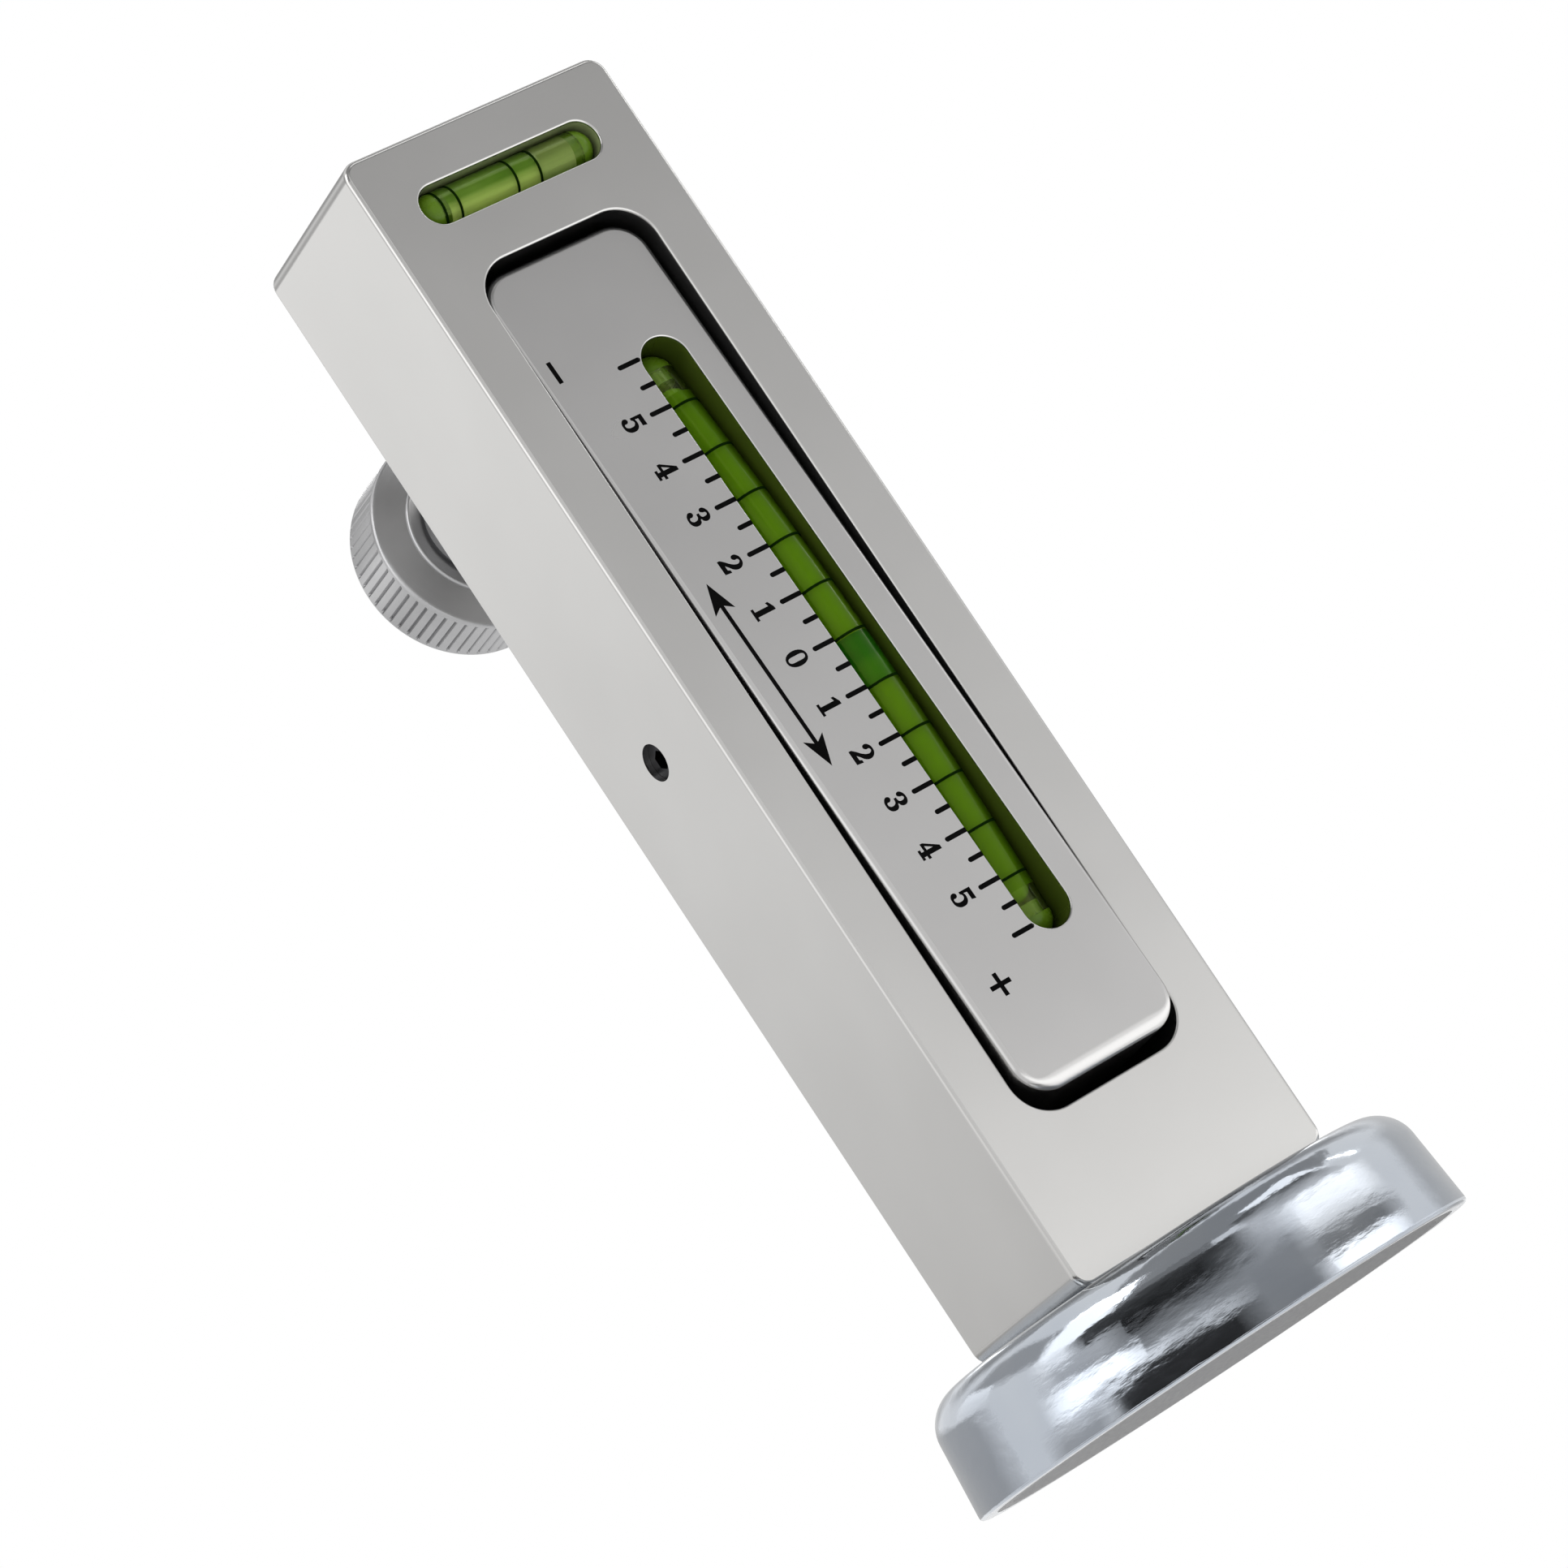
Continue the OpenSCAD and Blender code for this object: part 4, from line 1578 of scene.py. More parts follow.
GLYPHS = {
    "0": Glyph(
        (
            rounds((0.33, 0.0), (0.66, 0.5), (0.33, 1.0), (0.0, 0.5)),
            rounds((0.33, 0.08), (0.47, 0.5), (0.33, 0.92), (0.19, 0.5)),
        ),
        0.66,
    ),
    "1": Glyph(
        (
            corners((0.08, 0), (0.60, 0), (0.60, 0.1), (0.45, 0.1), (0.45, 1), (0.34, 1))
            + corners((0.08, 0.86), (0.08, 0.76), (0.24, 0.81), (0.24, 0.1), (0.08, 0.1)),
        ),
        0.66,
    ),
    "2": Glyph(
        (
            corners((0.03, 0), (0.62, 0), (0.65, 0.29), (0.56, 0.29), (0.51, 0.18), (0.27, 0.18))
            + rounds((0.4, 0.31), (0.58, 0.48), (0.64, 0.71), (0.54, 0.92), (0.33, 1.0))
            + rounds((0.12, 0.93), (0.04, 0.76), (0.12, 0.65), (0.23, 0.73), (0.24, 0.86))
            + rounds((0.33, 0.92), (0.43, 0.85), (0.45, 0.7), (0.34, 0.47), (0.14, 0.25))
            + corners((0.03, 0.11)),
        ),
        0.66,
    ),
    "3": Glyph(
        (
            rounds((0.32, 1.0), (0.54, 0.93), (0.61, 0.77), (0.55, 0.61), (0.44, 0.54))
            + rounds((0.59, 0.45), (0.65, 0.27), (0.56, 0.07), (0.32, 0.0), (0.1, 0.07))
            + rounds((0.02, 0.22), (0.11, 0.33), (0.22, 0.25), (0.23, 0.12), (0.32, 0.08))
            + rounds((0.43, 0.14), (0.46, 0.29), (0.4, 0.43), (0.28, 0.48))
            + corners((0.21, 0.48), (0.21, 0.58), (0.28, 0.58))
            + rounds((0.39, 0.63), (0.42, 0.77), (0.39, 0.88), (0.32, 0.92), (0.24, 0.87))
            + rounds((0.22, 0.77), (0.13, 0.68), (0.04, 0.78), (0.12, 0.93)),
        ),
        0.66,
    ),
    "4": Glyph(
        (
            corners((0.37, 1), (0.51, 1), (0.51, 0.37), (0.66, 0.37), (0.66, 0.26), (0.51, 0.263))
            + corners((0.51, 0.1), (0.62, 0.1), (0.62, 0), (0.2, 0), (0.2, 0.1), (0.32, 0.1))
            + corners((0.32, 0.263), (0, 0.26), (0, 0.37)),
            corners((0.32, 0.37), (0.32, 0.76), (0.1, 0.37)),
        ),
        0.66,
    ),
    "5": Glyph(
        (
            corners((0.09, 1), (0.58, 1), (0.55, 0.82), (0.2, 0.82), (0.18, 0.62))
            + rounds((0.34, 0.66), (0.57, 0.57), (0.65, 0.33), (0.55, 0.08), (0.3, 0.0))
            + rounds((0.09, 0.06), (0.02, 0.2), (0.11, 0.31), (0.22, 0.23), (0.22, 0.12))
            + rounds((0.31, 0.08), (0.42, 0.15), (0.46, 0.33), (0.42, 0.5), (0.3, 0.57))
            + rounds((0.2, 0.53))
            + corners((0.17, 0.48), (0.09, 0.48)),
        ),
        0.66,
    ),
    "minus": Glyph((corners((0, 0.41), (1, 0.41), (1, 0.59), (0, 0.59)),), 1.0),
    "plus": Glyph(
        (
            corners((0.41, 0), (0.59, 0), (0.587, 0.413), (1, 0.41), (1, 0.59), (0.587, 0.587))
            + corners((0.59, 1), (0.41, 1), (0.413, 0.587), (0, 0.59), (0, 0.41), (0.413, 0.413)),
        ),
        1.0,
    ),
    "arrow": Glyph(
        (
            corners((0, 0.5), (1.3, 0.02), (1.05, 0.42), (7.75, 0.42), (7.5, 0.02), (8.8, 0.5))
            + corners((7.5, 0.98), (7.75, 0.58), (1.05, 0.58), (1.3, 0.98)),
        ),
        8.8,
    ),
}


@dataclass
class ScaleBlock:
    """The rocking block with its window, its engraved scale and the paint in it."""

    front_y: float
    pin_z: float
    bottom: float = 31.2 * MM
    top: float = 134.5 * MM
    width: float = 21.3 * MM
    back_y: float = 4.49 * MM
    tilt: float = math.radians(-2)
    corner_r: float = 4.0 * MM
    edge_r: float = 0.8 * MM
    low_edge_gain: float = 1.2
    low_edge_blend: float = 3.4 * MM
    window_x: float = 4.0 * MM
    window_w: float = 5.7 * MM
    window_top_land: float = 13.5 * MM
    window_bottom_land: float = 14.3 * MM
    window_floor: float = 8.11 * MM
    window_rim: float = 0.18 * MM
    # The window's walls and floor get a dark green painted reflection of the spirit and painted
    # shade, from a little below the face.
    coat_start: float = 0.27 * MM
    window_coat: Colour = (0.05, 0.075, 0.008)
    degree_pitch: float = 346.5 * MM * math.pi / 180
    whole_tick: float = 2.9 * MM
    half_tick: float = 2.0 * MM
    tick_past_edge: float = 0.12 * MM
    tick_w: float = 0.55 * MM
    tick_depth: float = 0.25 * MM
    numeral_h: float = 2.65 * MM
    numeral_x: float = -3.98 * MM
    last_numeral: int = 5
    last_half: int = 12
    sign_h: float = 2.6 * MM
    minus_at: tuple[float, float] = (-8.45 * MM, 122.1 * MM)
    plus_at: tuple[float, float] = (-6.2 * MM, 43.3 * MM)
    arrow_at: tuple[float, float] = (-7.9 * MM, 83.1 * MM)
    stroke_gain: float = 0.016
    curve_steps: int = 5
    engraving: float = 0.14 * MM
    paint_sink: float = 0.015 * MM
    vial_depth: float = 3.05 * MM

    @property
    def height(self) -> float:
        """The upright block's height."""
        return self.top - self.bottom

    @property
    def vial_y(self) -> float:
        """Where the vial's axis lies at its middle."""
        return self.front_y + self.vial_depth

    @property
    def window(self) -> Opening:
        """The window that the vial shows through."""
        low = self.bottom + self.window_bottom_land
        high = self.top - self.window_top_land
        return Opening(
            self.window_x,
            (low + high) / 2,
            self.window_w,
            high - low,
            ROUND_END * self.window_w,
            self.front_y + self.window_floor,
        )

    def rest(self) -> Matrix:
        """Work out how the upright block is tilted as it rests in the bar.

        Returns:
            A turn about the pin.
        """
        pin = Vector((0, 0, self.pin_z))
        turn = Matrix.Rotation(self.tilt, 4, "X")
        return Matrix.Translation(pin) @ turn @ Matrix.Translation(-pin)

    def recesses(self) -> tuple[Recess, ...]:
        """Lay out where light and shade are painted into the block, tilted as it rests.

        Returns:
            The painted reflection and shade in the vial's window.
        """
        upright = self.window.recess(
            self.front_y, self.window_rim, self.coat_start, self.window_coat
        )
        centre = tuple(self.rest() @ Vector(upright.centre))
        return (replace(upright, centre=centre, turn=(-self.tilt, 0.0, 0.0)),)

    def glyph_plate(self, sign: str, height: float, x: float, z: float) -> Object:
        """Model one sign as a flat plate that straddles the face.

        Args:
            sign: The sign's name in GLYPHS.
            height: The sign's height, which runs along X.
            x: The sign's centre along X.
            z: The sign's centre along Z.

        Returns:
            The plate, twice as thick as the engraving is deep.
        """
        glyph = GLYPHS[sign]
        deselect_all()
        bpy.ops.curve.primitive_bezier_curve_add()
        curve = bpy.context.object
        curve.data.splines.clear()
        curve.data.dimensions = "2D"
        curve.data.fill_mode = "BOTH"
        curve.data.resolution_u = self.curve_steps
        curve.data.extrude = self.engraving / height
        curve.data.offset = self.stroke_gain
        for loop in glyph.loops:
            spline = curve.data.splines.new("BEZIER")
            spline.bezier_points.add(len(loop) - 1)
            spline.use_cyclic_u = True
            for knot, (across, up, is_smooth) in zip(spline.bezier_points, loop):
                knot.co = (across - glyph.width / 2, up - 0.5, 0)
                kind = "AUTO" if is_smooth else "VECTOR"
                knot.handle_left_type = knot.handle_right_type = kind
        bpy.ops.object.convert(target="MESH")
        plate = bpy.context.object
        plate.name = f"sign_{sign}"
        stand = Matrix(((0, 1, 0, x), (0, 0, -1, self.front_y), (-1, 0, 0, z), (0, 0, 0, 1)))
        place(plate, stand @ Matrix.Scale(height, 4))
        clean(plate)
        return plate

    def signs(self) -> list[Object]:
        """Model the numerals, the minus and plus signs and the arrow between them.

        Returns:
            One plate for each.
        """
        plates = [
            self.glyph_plate(
                str(abs(degree)),
                self.numeral_h,
                self.numeral_x,
                self.window.z + degree * self.degree_pitch,
            )
            for degree in range(-self.last_numeral, self.last_numeral + 1)
        ]
        places = {"minus": self.minus_at, "plus": self.plus_at, "arrow": self.arrow_at}
        for sign, (x, z) in places.items():
            plates.append(self.glyph_plate(sign, self.sign_h, x, z))
        return plates

    def tick_cutter(self) -> Object:
        """Model the engraved marks' cutting shape, one slot for each half degree.

        Returns:
            The slots as one object.
        """
        slots = []
        edge = self.window_x - self.window_w / 2 + self.tick_past_edge
        depth = self.tick_depth + OVERRUN
        for half in range(-self.last_half, self.last_half + 1):
            length = (self.half_tick if half % 2 else self.whole_tick) + self.tick_past_edge
            centre = (
                edge - length / 2,
                self.front_y + self.tick_depth - depth / 2,
                self.window.z + half * self.degree_pitch / 2,
            )
            size = (length, depth, self.tick_w)
            slots.append(round_prism("tick", centre, size, ROUND_END * self.tick_w, segments=6))
        return join("tick_cutter", slots)

    def widen_low_edge(self, obj: Object) -> None:
        """Stretch the front rounding upwards along the bottom edge, one ring at a time.

        Args:
            obj: The upright block in edit mode, with its front edge rounded.
        """
        places = [vert.co.copy() for vert in bmesh.from_edit_mesh(obj.data).verts]
        rounding = [p for p in places if p.y < self.front_y + self.edge_r - NEAR / 2]
        for ring_y in sorted({round(p.y / NEAR) * NEAR for p in rounding}):
            ring = [p for p in rounding if abs(p.y - ring_y) < 0.6 * NEAR]
            low = min(p.z for p in ring)
            pick_verts(obj, lambda p, y=ring_y: abs(p.y - y) < 0.6 * NEAR)
            bpy.ops.mesh.hide(unselected=True)
            pick_verts(obj, lambda p, z=low: p.z < z + NEAR / 2)
            bpy.ops.transform.translate(
                value=(0, 0, (low - self.bottom) * self.low_edge_gain),
                use_proportional_edit=True,
                proportional_edit_falloff="SMOOTH",
                proportional_size=self.low_edge_blend,
            )
            bpy.ops.mesh.reveal(select=False)

    def build(self, metal: Material, paint: Material) -> None:
        """Model the block and the paint in its signs, and put the block in its node's place.

        Args:
            metal: The block's material.
            paint: The paint's material.
        """
        centre = (0, (self.front_y + self.back_y) / 2, (self.bottom + self.top) / 2)
        size = (self.width, self.back_y - self.front_y, self.height)
        obj = round_prism("block_body", centre, size, self.corner_r, segments=12)
        with editing(obj):
            front = self.front_y
            pick_edges(obj, lambda a, b: abs(a.y - front) < NEAR and abs(b.y - front) < NEAR)
            bevel(self.edge_r, segments=6)
            self.widen_low_edge(obj)
        cut(obj, [self.window.cutter(self.front_y)])
        soften_rims(obj, self.front_y, [self.window], self.window_rim, segments=3)
        plates = self.signs()
        painted = []
        for plate in plates:
            activate(plate)
            bpy.ops.object.duplicate(linked=False)
            painted.append(bpy.context.object)
        cut(obj, [self.tick_cutter(), join("sign_cutter", plates)])
        smooth(obj)
        place(obj, self.rest())
        dress(obj, "block", metal)
        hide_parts("scale_block")
        fill = join("scale_signs", painted)
        place(fill, Matrix.Translation((0, self.engraving + self.paint_sink, 0)))
        place(fill, self.rest())
        dress(fill, "block", paint)


# ---- Vials ----


@dataclass
class LevelVial:
    """The straight vial across the top of the bar."""

    low: Vector
    high: Vector
    bore_r: float = 1.72 * MM
    fluid_end: float = 9.3 * MM
    bubble_start: float = 3.3 * MM
    dome: float = 1.2 * MM
    overlap: float = 0.03 * MM
    tube_sides: int = 96

    def filling(self, name: str, start: float, end: float, grow: float) -> Object:
        """Model a round-ended stretch of what fills the bore.

        Args:
            name: The piece's name.
            start: Where it starts along X.
            end: Where it ends.
            grow: How much wider than the bore it is.

        Returns:
            The piece.
        """
        middle = (self.low + self.high) / 2
        obj = rod(name, "X", self.bore_r + grow, (start, middle.y, middle.z), end - start)
        round_caps(obj, self.dome)
        smooth(obj)
        return obj

    def build(self, finishes: dict[str, Material]) -> None:
        """Model the glass, the spirit and its bubble, and put them in their nodes' places.

        Args:
            finishes: The materials by name.
        """
        middle = (self.low + self.high) / 2
        radius = (self.high.z - self.low.z) / 2
        start = (self.low.x, middle.y, middle.z)
        length = self.high.x - self.low.x
        sides = self.tube_sides
        tube = rod("level_glass", "X", radius, start, length, sides)
        bore = (self.low.x - OVERRUN, middle.y, middle.z)
        cut(tube, [rod("bore_cutter", "X", self.bore_r, bore, length + 2 * OVERRUN, sides)])
        smooth(tube)
        dress(tube, "bar", finishes["vial_glass"])
        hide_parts("level_vial_tube")
        end = self.fluid_end
        fluid = self.filling("level_spirit", -end, self.bubble_start + self.dome, self.overlap)
        dress(fluid, "bar", finishes["level_fluid"])
        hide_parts("level_vial_liquid")
        bubble = self.filling("level_bubble", self.bubble_start, end, 2 * self.overlap)
        dress(bubble, "bar", finishes["level_bubble"])


@dataclass
class MainVial:
    """The bent vial in the scale block, modelled upright and then tilted with the block."""

    rest: Matrix
    axis_x: float
    axis_y: float
    middle_z: float
    bend_r: float = 346.5 * MM
    radius: float = 2.7 * MM
    bore_r: float = 2.1 * MM
    half_angle: float = 5.77
    fluid_angle: float = 5.45
    bubble_angle: float = -0.5
    bubble_span: float = 0.94
    dome: float = 1.6 * MM
    overlap: float = 0.02 * MM
    sides: int = 64
    steps_per_degree: int = 5
    cutter_past: float = 0.3

    def stretch(self, name: str, radius: float, low: float, high: float) -> Object:
        """Spin a bent rod about the vial's centre of bend.

        Args:
            name: The piece's name.
            radius: The rod's radius.
            low: The angle of its lower end, in degrees up from the middle.
            high: The angle of its upper end.

        Returns:
            The rod, with flat ends.
        """
        deselect_all()
        bpy.ops.mesh.primitive_circle_add(
            vertices=self.sides,
            radius=radius,
            fill_type="NGON",
            location=(self.axis_x, self.axis_y, self.middle_z),
        )
        obj = claim(name)
        hub = Vector((self.axis_x, self.axis_y + self.bend_r, self.middle_z))
        turn = Matrix.Rotation(math.radians(-low), 4, "X")
        place(obj, Matrix.Translation(hub) @ turn @ Matrix.Translation(-hub))
        with editing(obj):
            bpy.ops.mesh.select_all(action="SELECT")
            bpy.ops.mesh.spin(
                steps=round(self.steps_per_degree * (high - low)),
                angle=math.radians(high - low),
                center=hub,
                axis=(1, 0, 0),
            )
        clean(obj)
        return obj

    def filling(self, name: str, low: float, high: float, grow: float) -> Object:
        """Model a round-ended stretch of what fills the bore.

        Args:
            name: The piece's name.
            low: The angle of its lower end, in degrees up from the middle.
            high: The angle of its upper end.
            grow: How much wider than the bore it is.

        Returns:
            The piece.
        """
        obj = self.stretch(name, self.bore_r + grow, low, high)
        round_caps(obj, self.dome)
        return obj

    def settle(self, obj: Object, finish: Material) -> None:
        """Smooth a piece, tilt it with the block and dress it.

        Args:
            obj: The piece, upright.
            finish: The material.
        """
        smooth(obj)
        place(obj, self.rest)
        dress(obj, "block", finish)

    def build(self, finishes: dict[str, Material]) -> None:
        """Model the glass, the spirit and its bubble, and put them in their nodes' places.

        Args:
            finishes: The materials by name.
        """
        tube = self.stretch("main_glass", self.radius, -self.half_angle, self.half_angle)
        past = self.half_angle + self.cutter_past
        cut(tube, [self.stretch("bore_cutter", self.bore_r, -past, past)])
        self.settle(tube, finishes["vial_glass"])
        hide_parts("main_vial_tube")
        fluid = self.filling("main_spirit", -self.fluid_angle, self.fluid_angle, self.overlap)
        self.settle(fluid, finishes["vial_fluid"])
        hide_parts("main_vial_liquid")
        bottom = self.bubble_angle - self.bubble_span / 2
        top = self.bubble_angle + self.bubble_span / 2
        bubble = self.stretch("main_bubble", self.bore_r + 2 * self.overlap, bottom, top)
        round_caps(bubble, self.overlap, segments=2)
        self.settle(bubble, finishes["main_bubble"])


# ---- Knob ----


@dataclass
class Knob:
    """The knurled knob behind the bar."""

    centre_z: float
    face_y: float
    back_y: float
    radius: float
    ribs: int = 64
    sides_per_rib: int = 6
    groove: float = 0.3 * MM
    edge_r: float = 0.55 * MM
    rib_angle: float = math.radians(24)
    plain: float = 0.6 * MM
    fade: float = 0.3 * MM
    knurl_t: float = 8.0 * MM
    hub_r: float = 8.7 * MM
    hub_step: float = 0.45 * MM
    hub_edge_r: float = 0.35 * MM
    dish_r: float = 9.1 * MM
    dish_slope: float = 0.25 * MM
    dish_depth: float = 0.6 * MM
    bore_r: float = 2.32 * MM
    grub_r: float = 1.52 * MM

    @property
    def rim_y(self) -> float:
        """Where the knurled part's front lies."""
        return self.back_y - self.knurl_t

    def reach(self, place: Vector) -> float:
        """Return how far a place is from the knob's axis."""
        return math.hypot(place.x, place.z - self.centre_z)

    def in_groove(self, place: Vector) -> bool:
        """Say whether a place on the knob's side is in the middle of a groove.

        Args:
            place: The place.

        Returns:
            True if it is.
        """
        sides = self.ribs * self.sides_per_rib
        turn = math.atan2(place.z - self.centre_z, place.x) / math.tau
        on_side = self.rim_y + self.plain + NEAR < place.y < self.back_y - self.plain - NEAR
        return on_side and round(turn * sides) % self.sides_per_rib == 0

    def build(self, finish: Material) -> None:
        """Model the knob and put it in its frame node's place.

        Args:
            finish: Its material.
        """
        sides = self.ribs * self.sides_per_rib
        centre = (0, self.rim_y, self.centre_z)
        obj = rod("knob_body", "Y", self.radius, centre, self.knurl_t, sides)
        with editing(obj):
            self.knurl(centre)
            pick_verts(obj, self.in_groove)
            deep = 1 - self.groove / self.radius
            bpy.ops.transform.resize(value=(deep, 1, deep), center_override=centre)
            pick_caps(obj)
            bevel(self.edge_r, segments=4)
            self.turn_front(obj)
            self.turn_back(obj)
        length = self.back_y - self.face_y + 2 * OVERRUN
        start = (0, self.face_y - OVERRUN, self.centre_z)
        side = (0, self.rim_y + self.knurl_t / 2, self.centre_z)
        cut(
            obj,
            [
                rod("bore_cutter", "Y", self.bore_r, start, length),
                rod("grub_cutter", "X", self.grub_r, side, self.radius + OVERRUN),
            ],
        )
        smooth(obj, self.rib_angle)
        dress(obj, "knob", finish)
        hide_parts("knob")

    def knurl(self, centre: Point) -> None:
        """Cut the side of the knob in edit mode into bands, between which the grooves fade.

        Args:
            centre: A point on the knob's axis.
        """
        ends = (self.plain, self.plain + self.fade)
        for y in [self.rim_y + e for e in ends] + [self.back_y - e for e in ends]:
            bpy.ops.mesh.select_all(action="SELECT")
            bpy.ops.mesh.bisect(plane_co=(centre[0], y, centre[2]), plane_no=(0, 1, 0))

    def turn_front(self, obj: Object) -> None:
        """Shape the face towards the bar in edit mode: a slope, then the rounded hub.

        Args:
            obj: The knob in edit mode.
        """
        pick_faces(obj, lambda c, n: n.y < -FACING and abs(c.y - self.rim_y) < NEAR)
        rise = self.rim_y - self.face_y - self.hub_step
        bpy.ops.mesh.inset(thickness=self.radius - self.edge_r - self.hub_r, depth=rise)
        bpy.ops.mesh.extrude_region_move(
            TRANSFORM_OT_translate={"value": (0, -self.hub_step, 0)}
        )
        pick_edges(obj, lambda a, b: a.y < self.face_y + NEAR and b.y < self.face_y + NEAR)
        bevel(self.hub_edge_r, segments=5)

    def turn_back(self, obj: Object) -> None:
        """Sink the dish into the outer face of the knob in edit mode.

        Args:
            obj: The knob in edit mode.
        """
        pick_faces(obj, lambda c, n: n.y > FACING and abs(c.y - self.back_y) < NEAR)
        bpy.ops.mesh.inset(thickness=self.radius - self.edge_r - self.dish_r)
        bpy.ops.mesh.inset(thickness=self.dish_slope, depth=-self.dish_depth)


@dataclass
class AdjusterSpring:
    """The coil spring in the barrel, which works between the bar and the block."""

    low: Vector
    high: Vector
    wire_r: float = 0.4 * MM
    turns: int = 9
    steps: int = 24
    sides: int = 12
    held: float = 0.74

    def build(self, finish: Material) -> None:
        """Wind the spring in its frame node's place.

        Args:
            finish: Its material.
        """
        middle = (self.low + self.high) / 2
        length = self.high.y - self.low.y
        deselect_all()
        bpy.ops.mesh.primitive_circle_add(
            vertices=self.sides, radius=self.wire_r, location=(self.high.x - self.wire_r, 0, 0)
        )
        obj = claim("spring_coil")
        apply_modifier(
            obj,
            "SCREW",
            axis="Y",
            angle=-math.tau,
            screw_offset=(length - 2 * self.wire_r) / self.turns,
            iterations=self.turns,
            steps=self.steps,
            render_steps=self.steps,
        )
        place(obj, Matrix.Translation((0, self.low.y + self.wire_r, middle.z)))
        with editing(obj):
            bpy.ops.mesh.select_all(action="SELECT")
            bpy.ops.mesh.fill_holes(sides=0)
        smooth(obj)
        obj.data.materials.append(finish)
        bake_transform(obj)
        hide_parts("adjuster_spring")
        LOG.info("%s: %d faces, bends from bar to block", obj.name, len(obj.data.polygons))


# ---- Finishes of this gauge ----


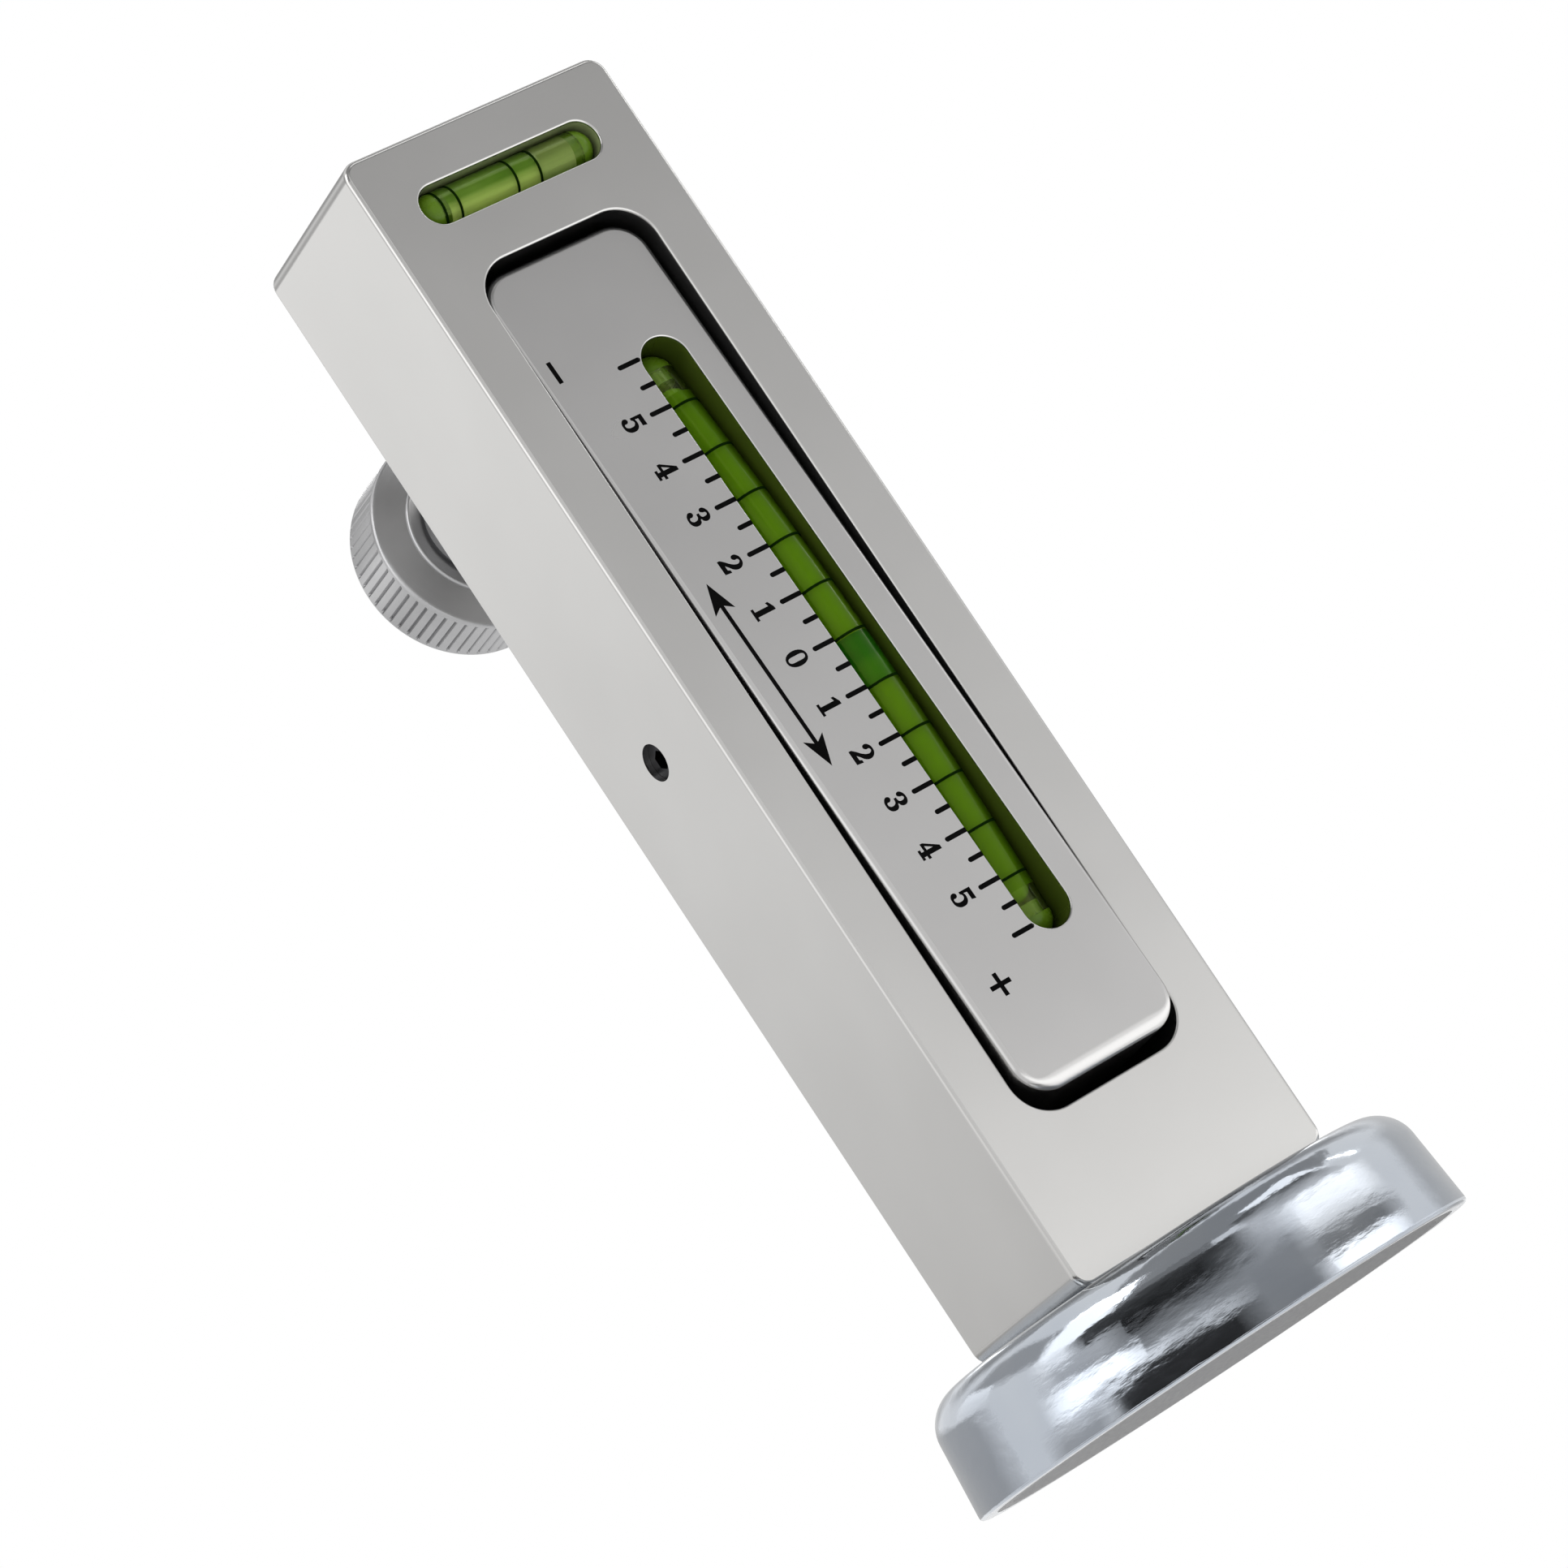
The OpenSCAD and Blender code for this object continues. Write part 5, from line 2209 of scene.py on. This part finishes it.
def make_finishes(
    bar: Bar, block: ScaleBlock, knob: Knob, level_z: float
) -> dict[str, Material]:
    """Build one material for each material slot, and the painted light and shade of the vials'
    fillings.

    Args:
        bar: The bar, whose recesses get painted shade and a painted reflection.
        block: The scale block, whose window gets a painted reflection and shade.
        knob: The knob, whose axis the turned pieces share.
        level_z: The height of the cross level's axis.

    Returns:
        The materials by name.
    """
    on_knob = {"centre": (0.0, 0.0, knob.centre_z), "turn": (math.pi / 2, 0.0, 0.0)}
    on_pin = {"centre": (0.0, 0.0, bar.pin_z), "turn": (0.0, math.pi / 2, 0.0)}
    finishes = {
        "satin_nickel": SatinMetal(
            (0.54, 0.535, 0.525),
            (0.50, 0.495, 0.485),
            rough=0.18,
            ripple=0.05 * MM,
            recesses=bar.recesses(),
        ),
        "block_nickel": SatinMetal(
            (0.53, 0.525, 0.52), (0.50, 0.495, 0.49), recesses=block.recesses()
        ),
        "plated_cup": PlatedCup((0.55, 0.58, 0.62), (0.46, 0.50, 0.56)),
        "knob_metal": TurnedMetal((0.46, 0.46, 0.465), **on_knob),
        "steel_bright": TurnedMetal((0.40, 0.40, 0.42)),
        "steel_black": TurnedMetal((0.03, 0.03, 0.033), **on_pin),
        "bronze": TurnedMetal((0.62, 0.42, 0.20), **on_knob),
        "ferrite": Dielectric((0.055, 0.055, 0.06), (0.075, 0.075, 0.08), 0.42, 0.02 * MM),
        "potting_resin": Dielectric((0.02, 0.02, 0.022), (0.03, 0.03, 0.033), 0.35),
        "vial_glass": ClearGlass((0.97, 1.0, 0.94), (0.55, 0.75, 0.15)),
        "vial_plug": Dielectric((0.09, 0.18, 0.006), (0.11, 0.21, 0.008), 0.3, gloss=0.2),
        # Painted shade: the main spirit is darker on the right side of the vial, beyond X = 5.2
        # mm.
        "vial_fluid": VialFluid(
            (0.11, 0.26, 0.002), (0.06, 0.13, 0.002), "X", 5.2 * MM, 1.6 * MM
        ),
        # Painted shade: the main bubble is darker towards its upper end.
        "main_bubble": VialFluid(
            (0.035, 0.18, 0.003), (0.010, 0.13, 0.002), "Z", 80.3 * MM, 1.2 * MM
        ),
        # Painted highlight: the cross level's spirit and bubble are much paler along their lower
        # side.
        "level_fluid": VialFluid(
            (0.72, 0.92, 0.22), (0.08, 0.20, 0.01), "Z", level_z - 0.8 * MM, 1.5 * MM
        ),
        "level_bubble": VialFluid(
            (0.42, 0.56, 0.16), (0.18, 0.25, 0.06), "Z", level_z - 0.6 * MM, 1.6 * MM
        ),
        "vial_ring": Dielectric((0.004, 0.014, 0.001), (0.005, 0.017, 0.002), 0.5, gloss=0.0),
        "vial_bed_light": Dielectric((0.20, 0.24, 0.10), (0.23, 0.28, 0.12), 0.6, gloss=0.2),
        "vial_bed_dark": Dielectric((0.03, 0.045, 0.004), (0.04, 0.06, 0.006), 0.5, gloss=0.2),
        "scale_paint": Dielectric((0.004, 0.004, 0.004), (0.006, 0.006, 0.006), 0.6, gloss=0.0),
    }
    make_effects()
    return {slot: finish.material(slot) for slot, finish in finishes.items()}


def finish_frame(nodes: dict[str, Object], finishes: dict[str, Material]) -> None:
    """Give every frame node the material of its slot.

    Args:
        nodes: The frame's nodes by name.
        finishes: The materials by slot.
    """
    for name, node in nodes.items():
        slot = node.data.materials[0].name.split(".")[0]
        node.data.materials[0] = finishes[slot]
        LOG.info("%s: finished as %s", name, slot)


def main() -> None:
    """Build the gauge's looks around its frame, and the studio round it."""
    logging.basicConfig(level=logging.INFO, format="%(message)s")
    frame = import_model()
    for material in list(bpy.data.materials):  # leaves their plain names to the finishes
        material.name = material.name.split(".")[0] + ".frame"
    bar_low, bar_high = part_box("housing")
    pin_low, pin_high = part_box("pivot_pin")
    knob_low, knob_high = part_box("knob")
    cup_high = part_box("magnet_cup")[1]
    level_low, level_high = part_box("level_vial_tube")
    pin_z = (pin_low.z + pin_high.z) / 2
    knob_z = (knob_low.z + knob_high.z) / 2
    bar = Bar(bar_low, bar_high, pin_z, knob_z)
    block = ScaleBlock(bar_low.y, pin_z)
    knob = Knob(knob_z, knob_low.y, knob_high.y, knob_high.x)
    finishes = make_finishes(bar, block, knob, (level_low.z + level_high.z) / 2)
    finish_frame(frame["nodes"], finishes)
    Camera().build()
    Studio().build()
    bar.build(finishes["satin_nickel"])
    MagnetCup(cup_high.x, cup_high.z).build(finishes["plated_cup"])
    block.build(finishes["block_nickel"], finishes["scale_paint"])
    knob.build(finishes["knob_metal"])
    AdjusterSpring(*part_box("adjuster_spring")).build(finishes["steel_bright"])
    LevelVial(level_low, level_high).build(finishes)
    window = block.window
    MainVial(block.rest(), window.x, block.vial_y, window.z).build(finishes)


if __name__ == "__main__":
    main()
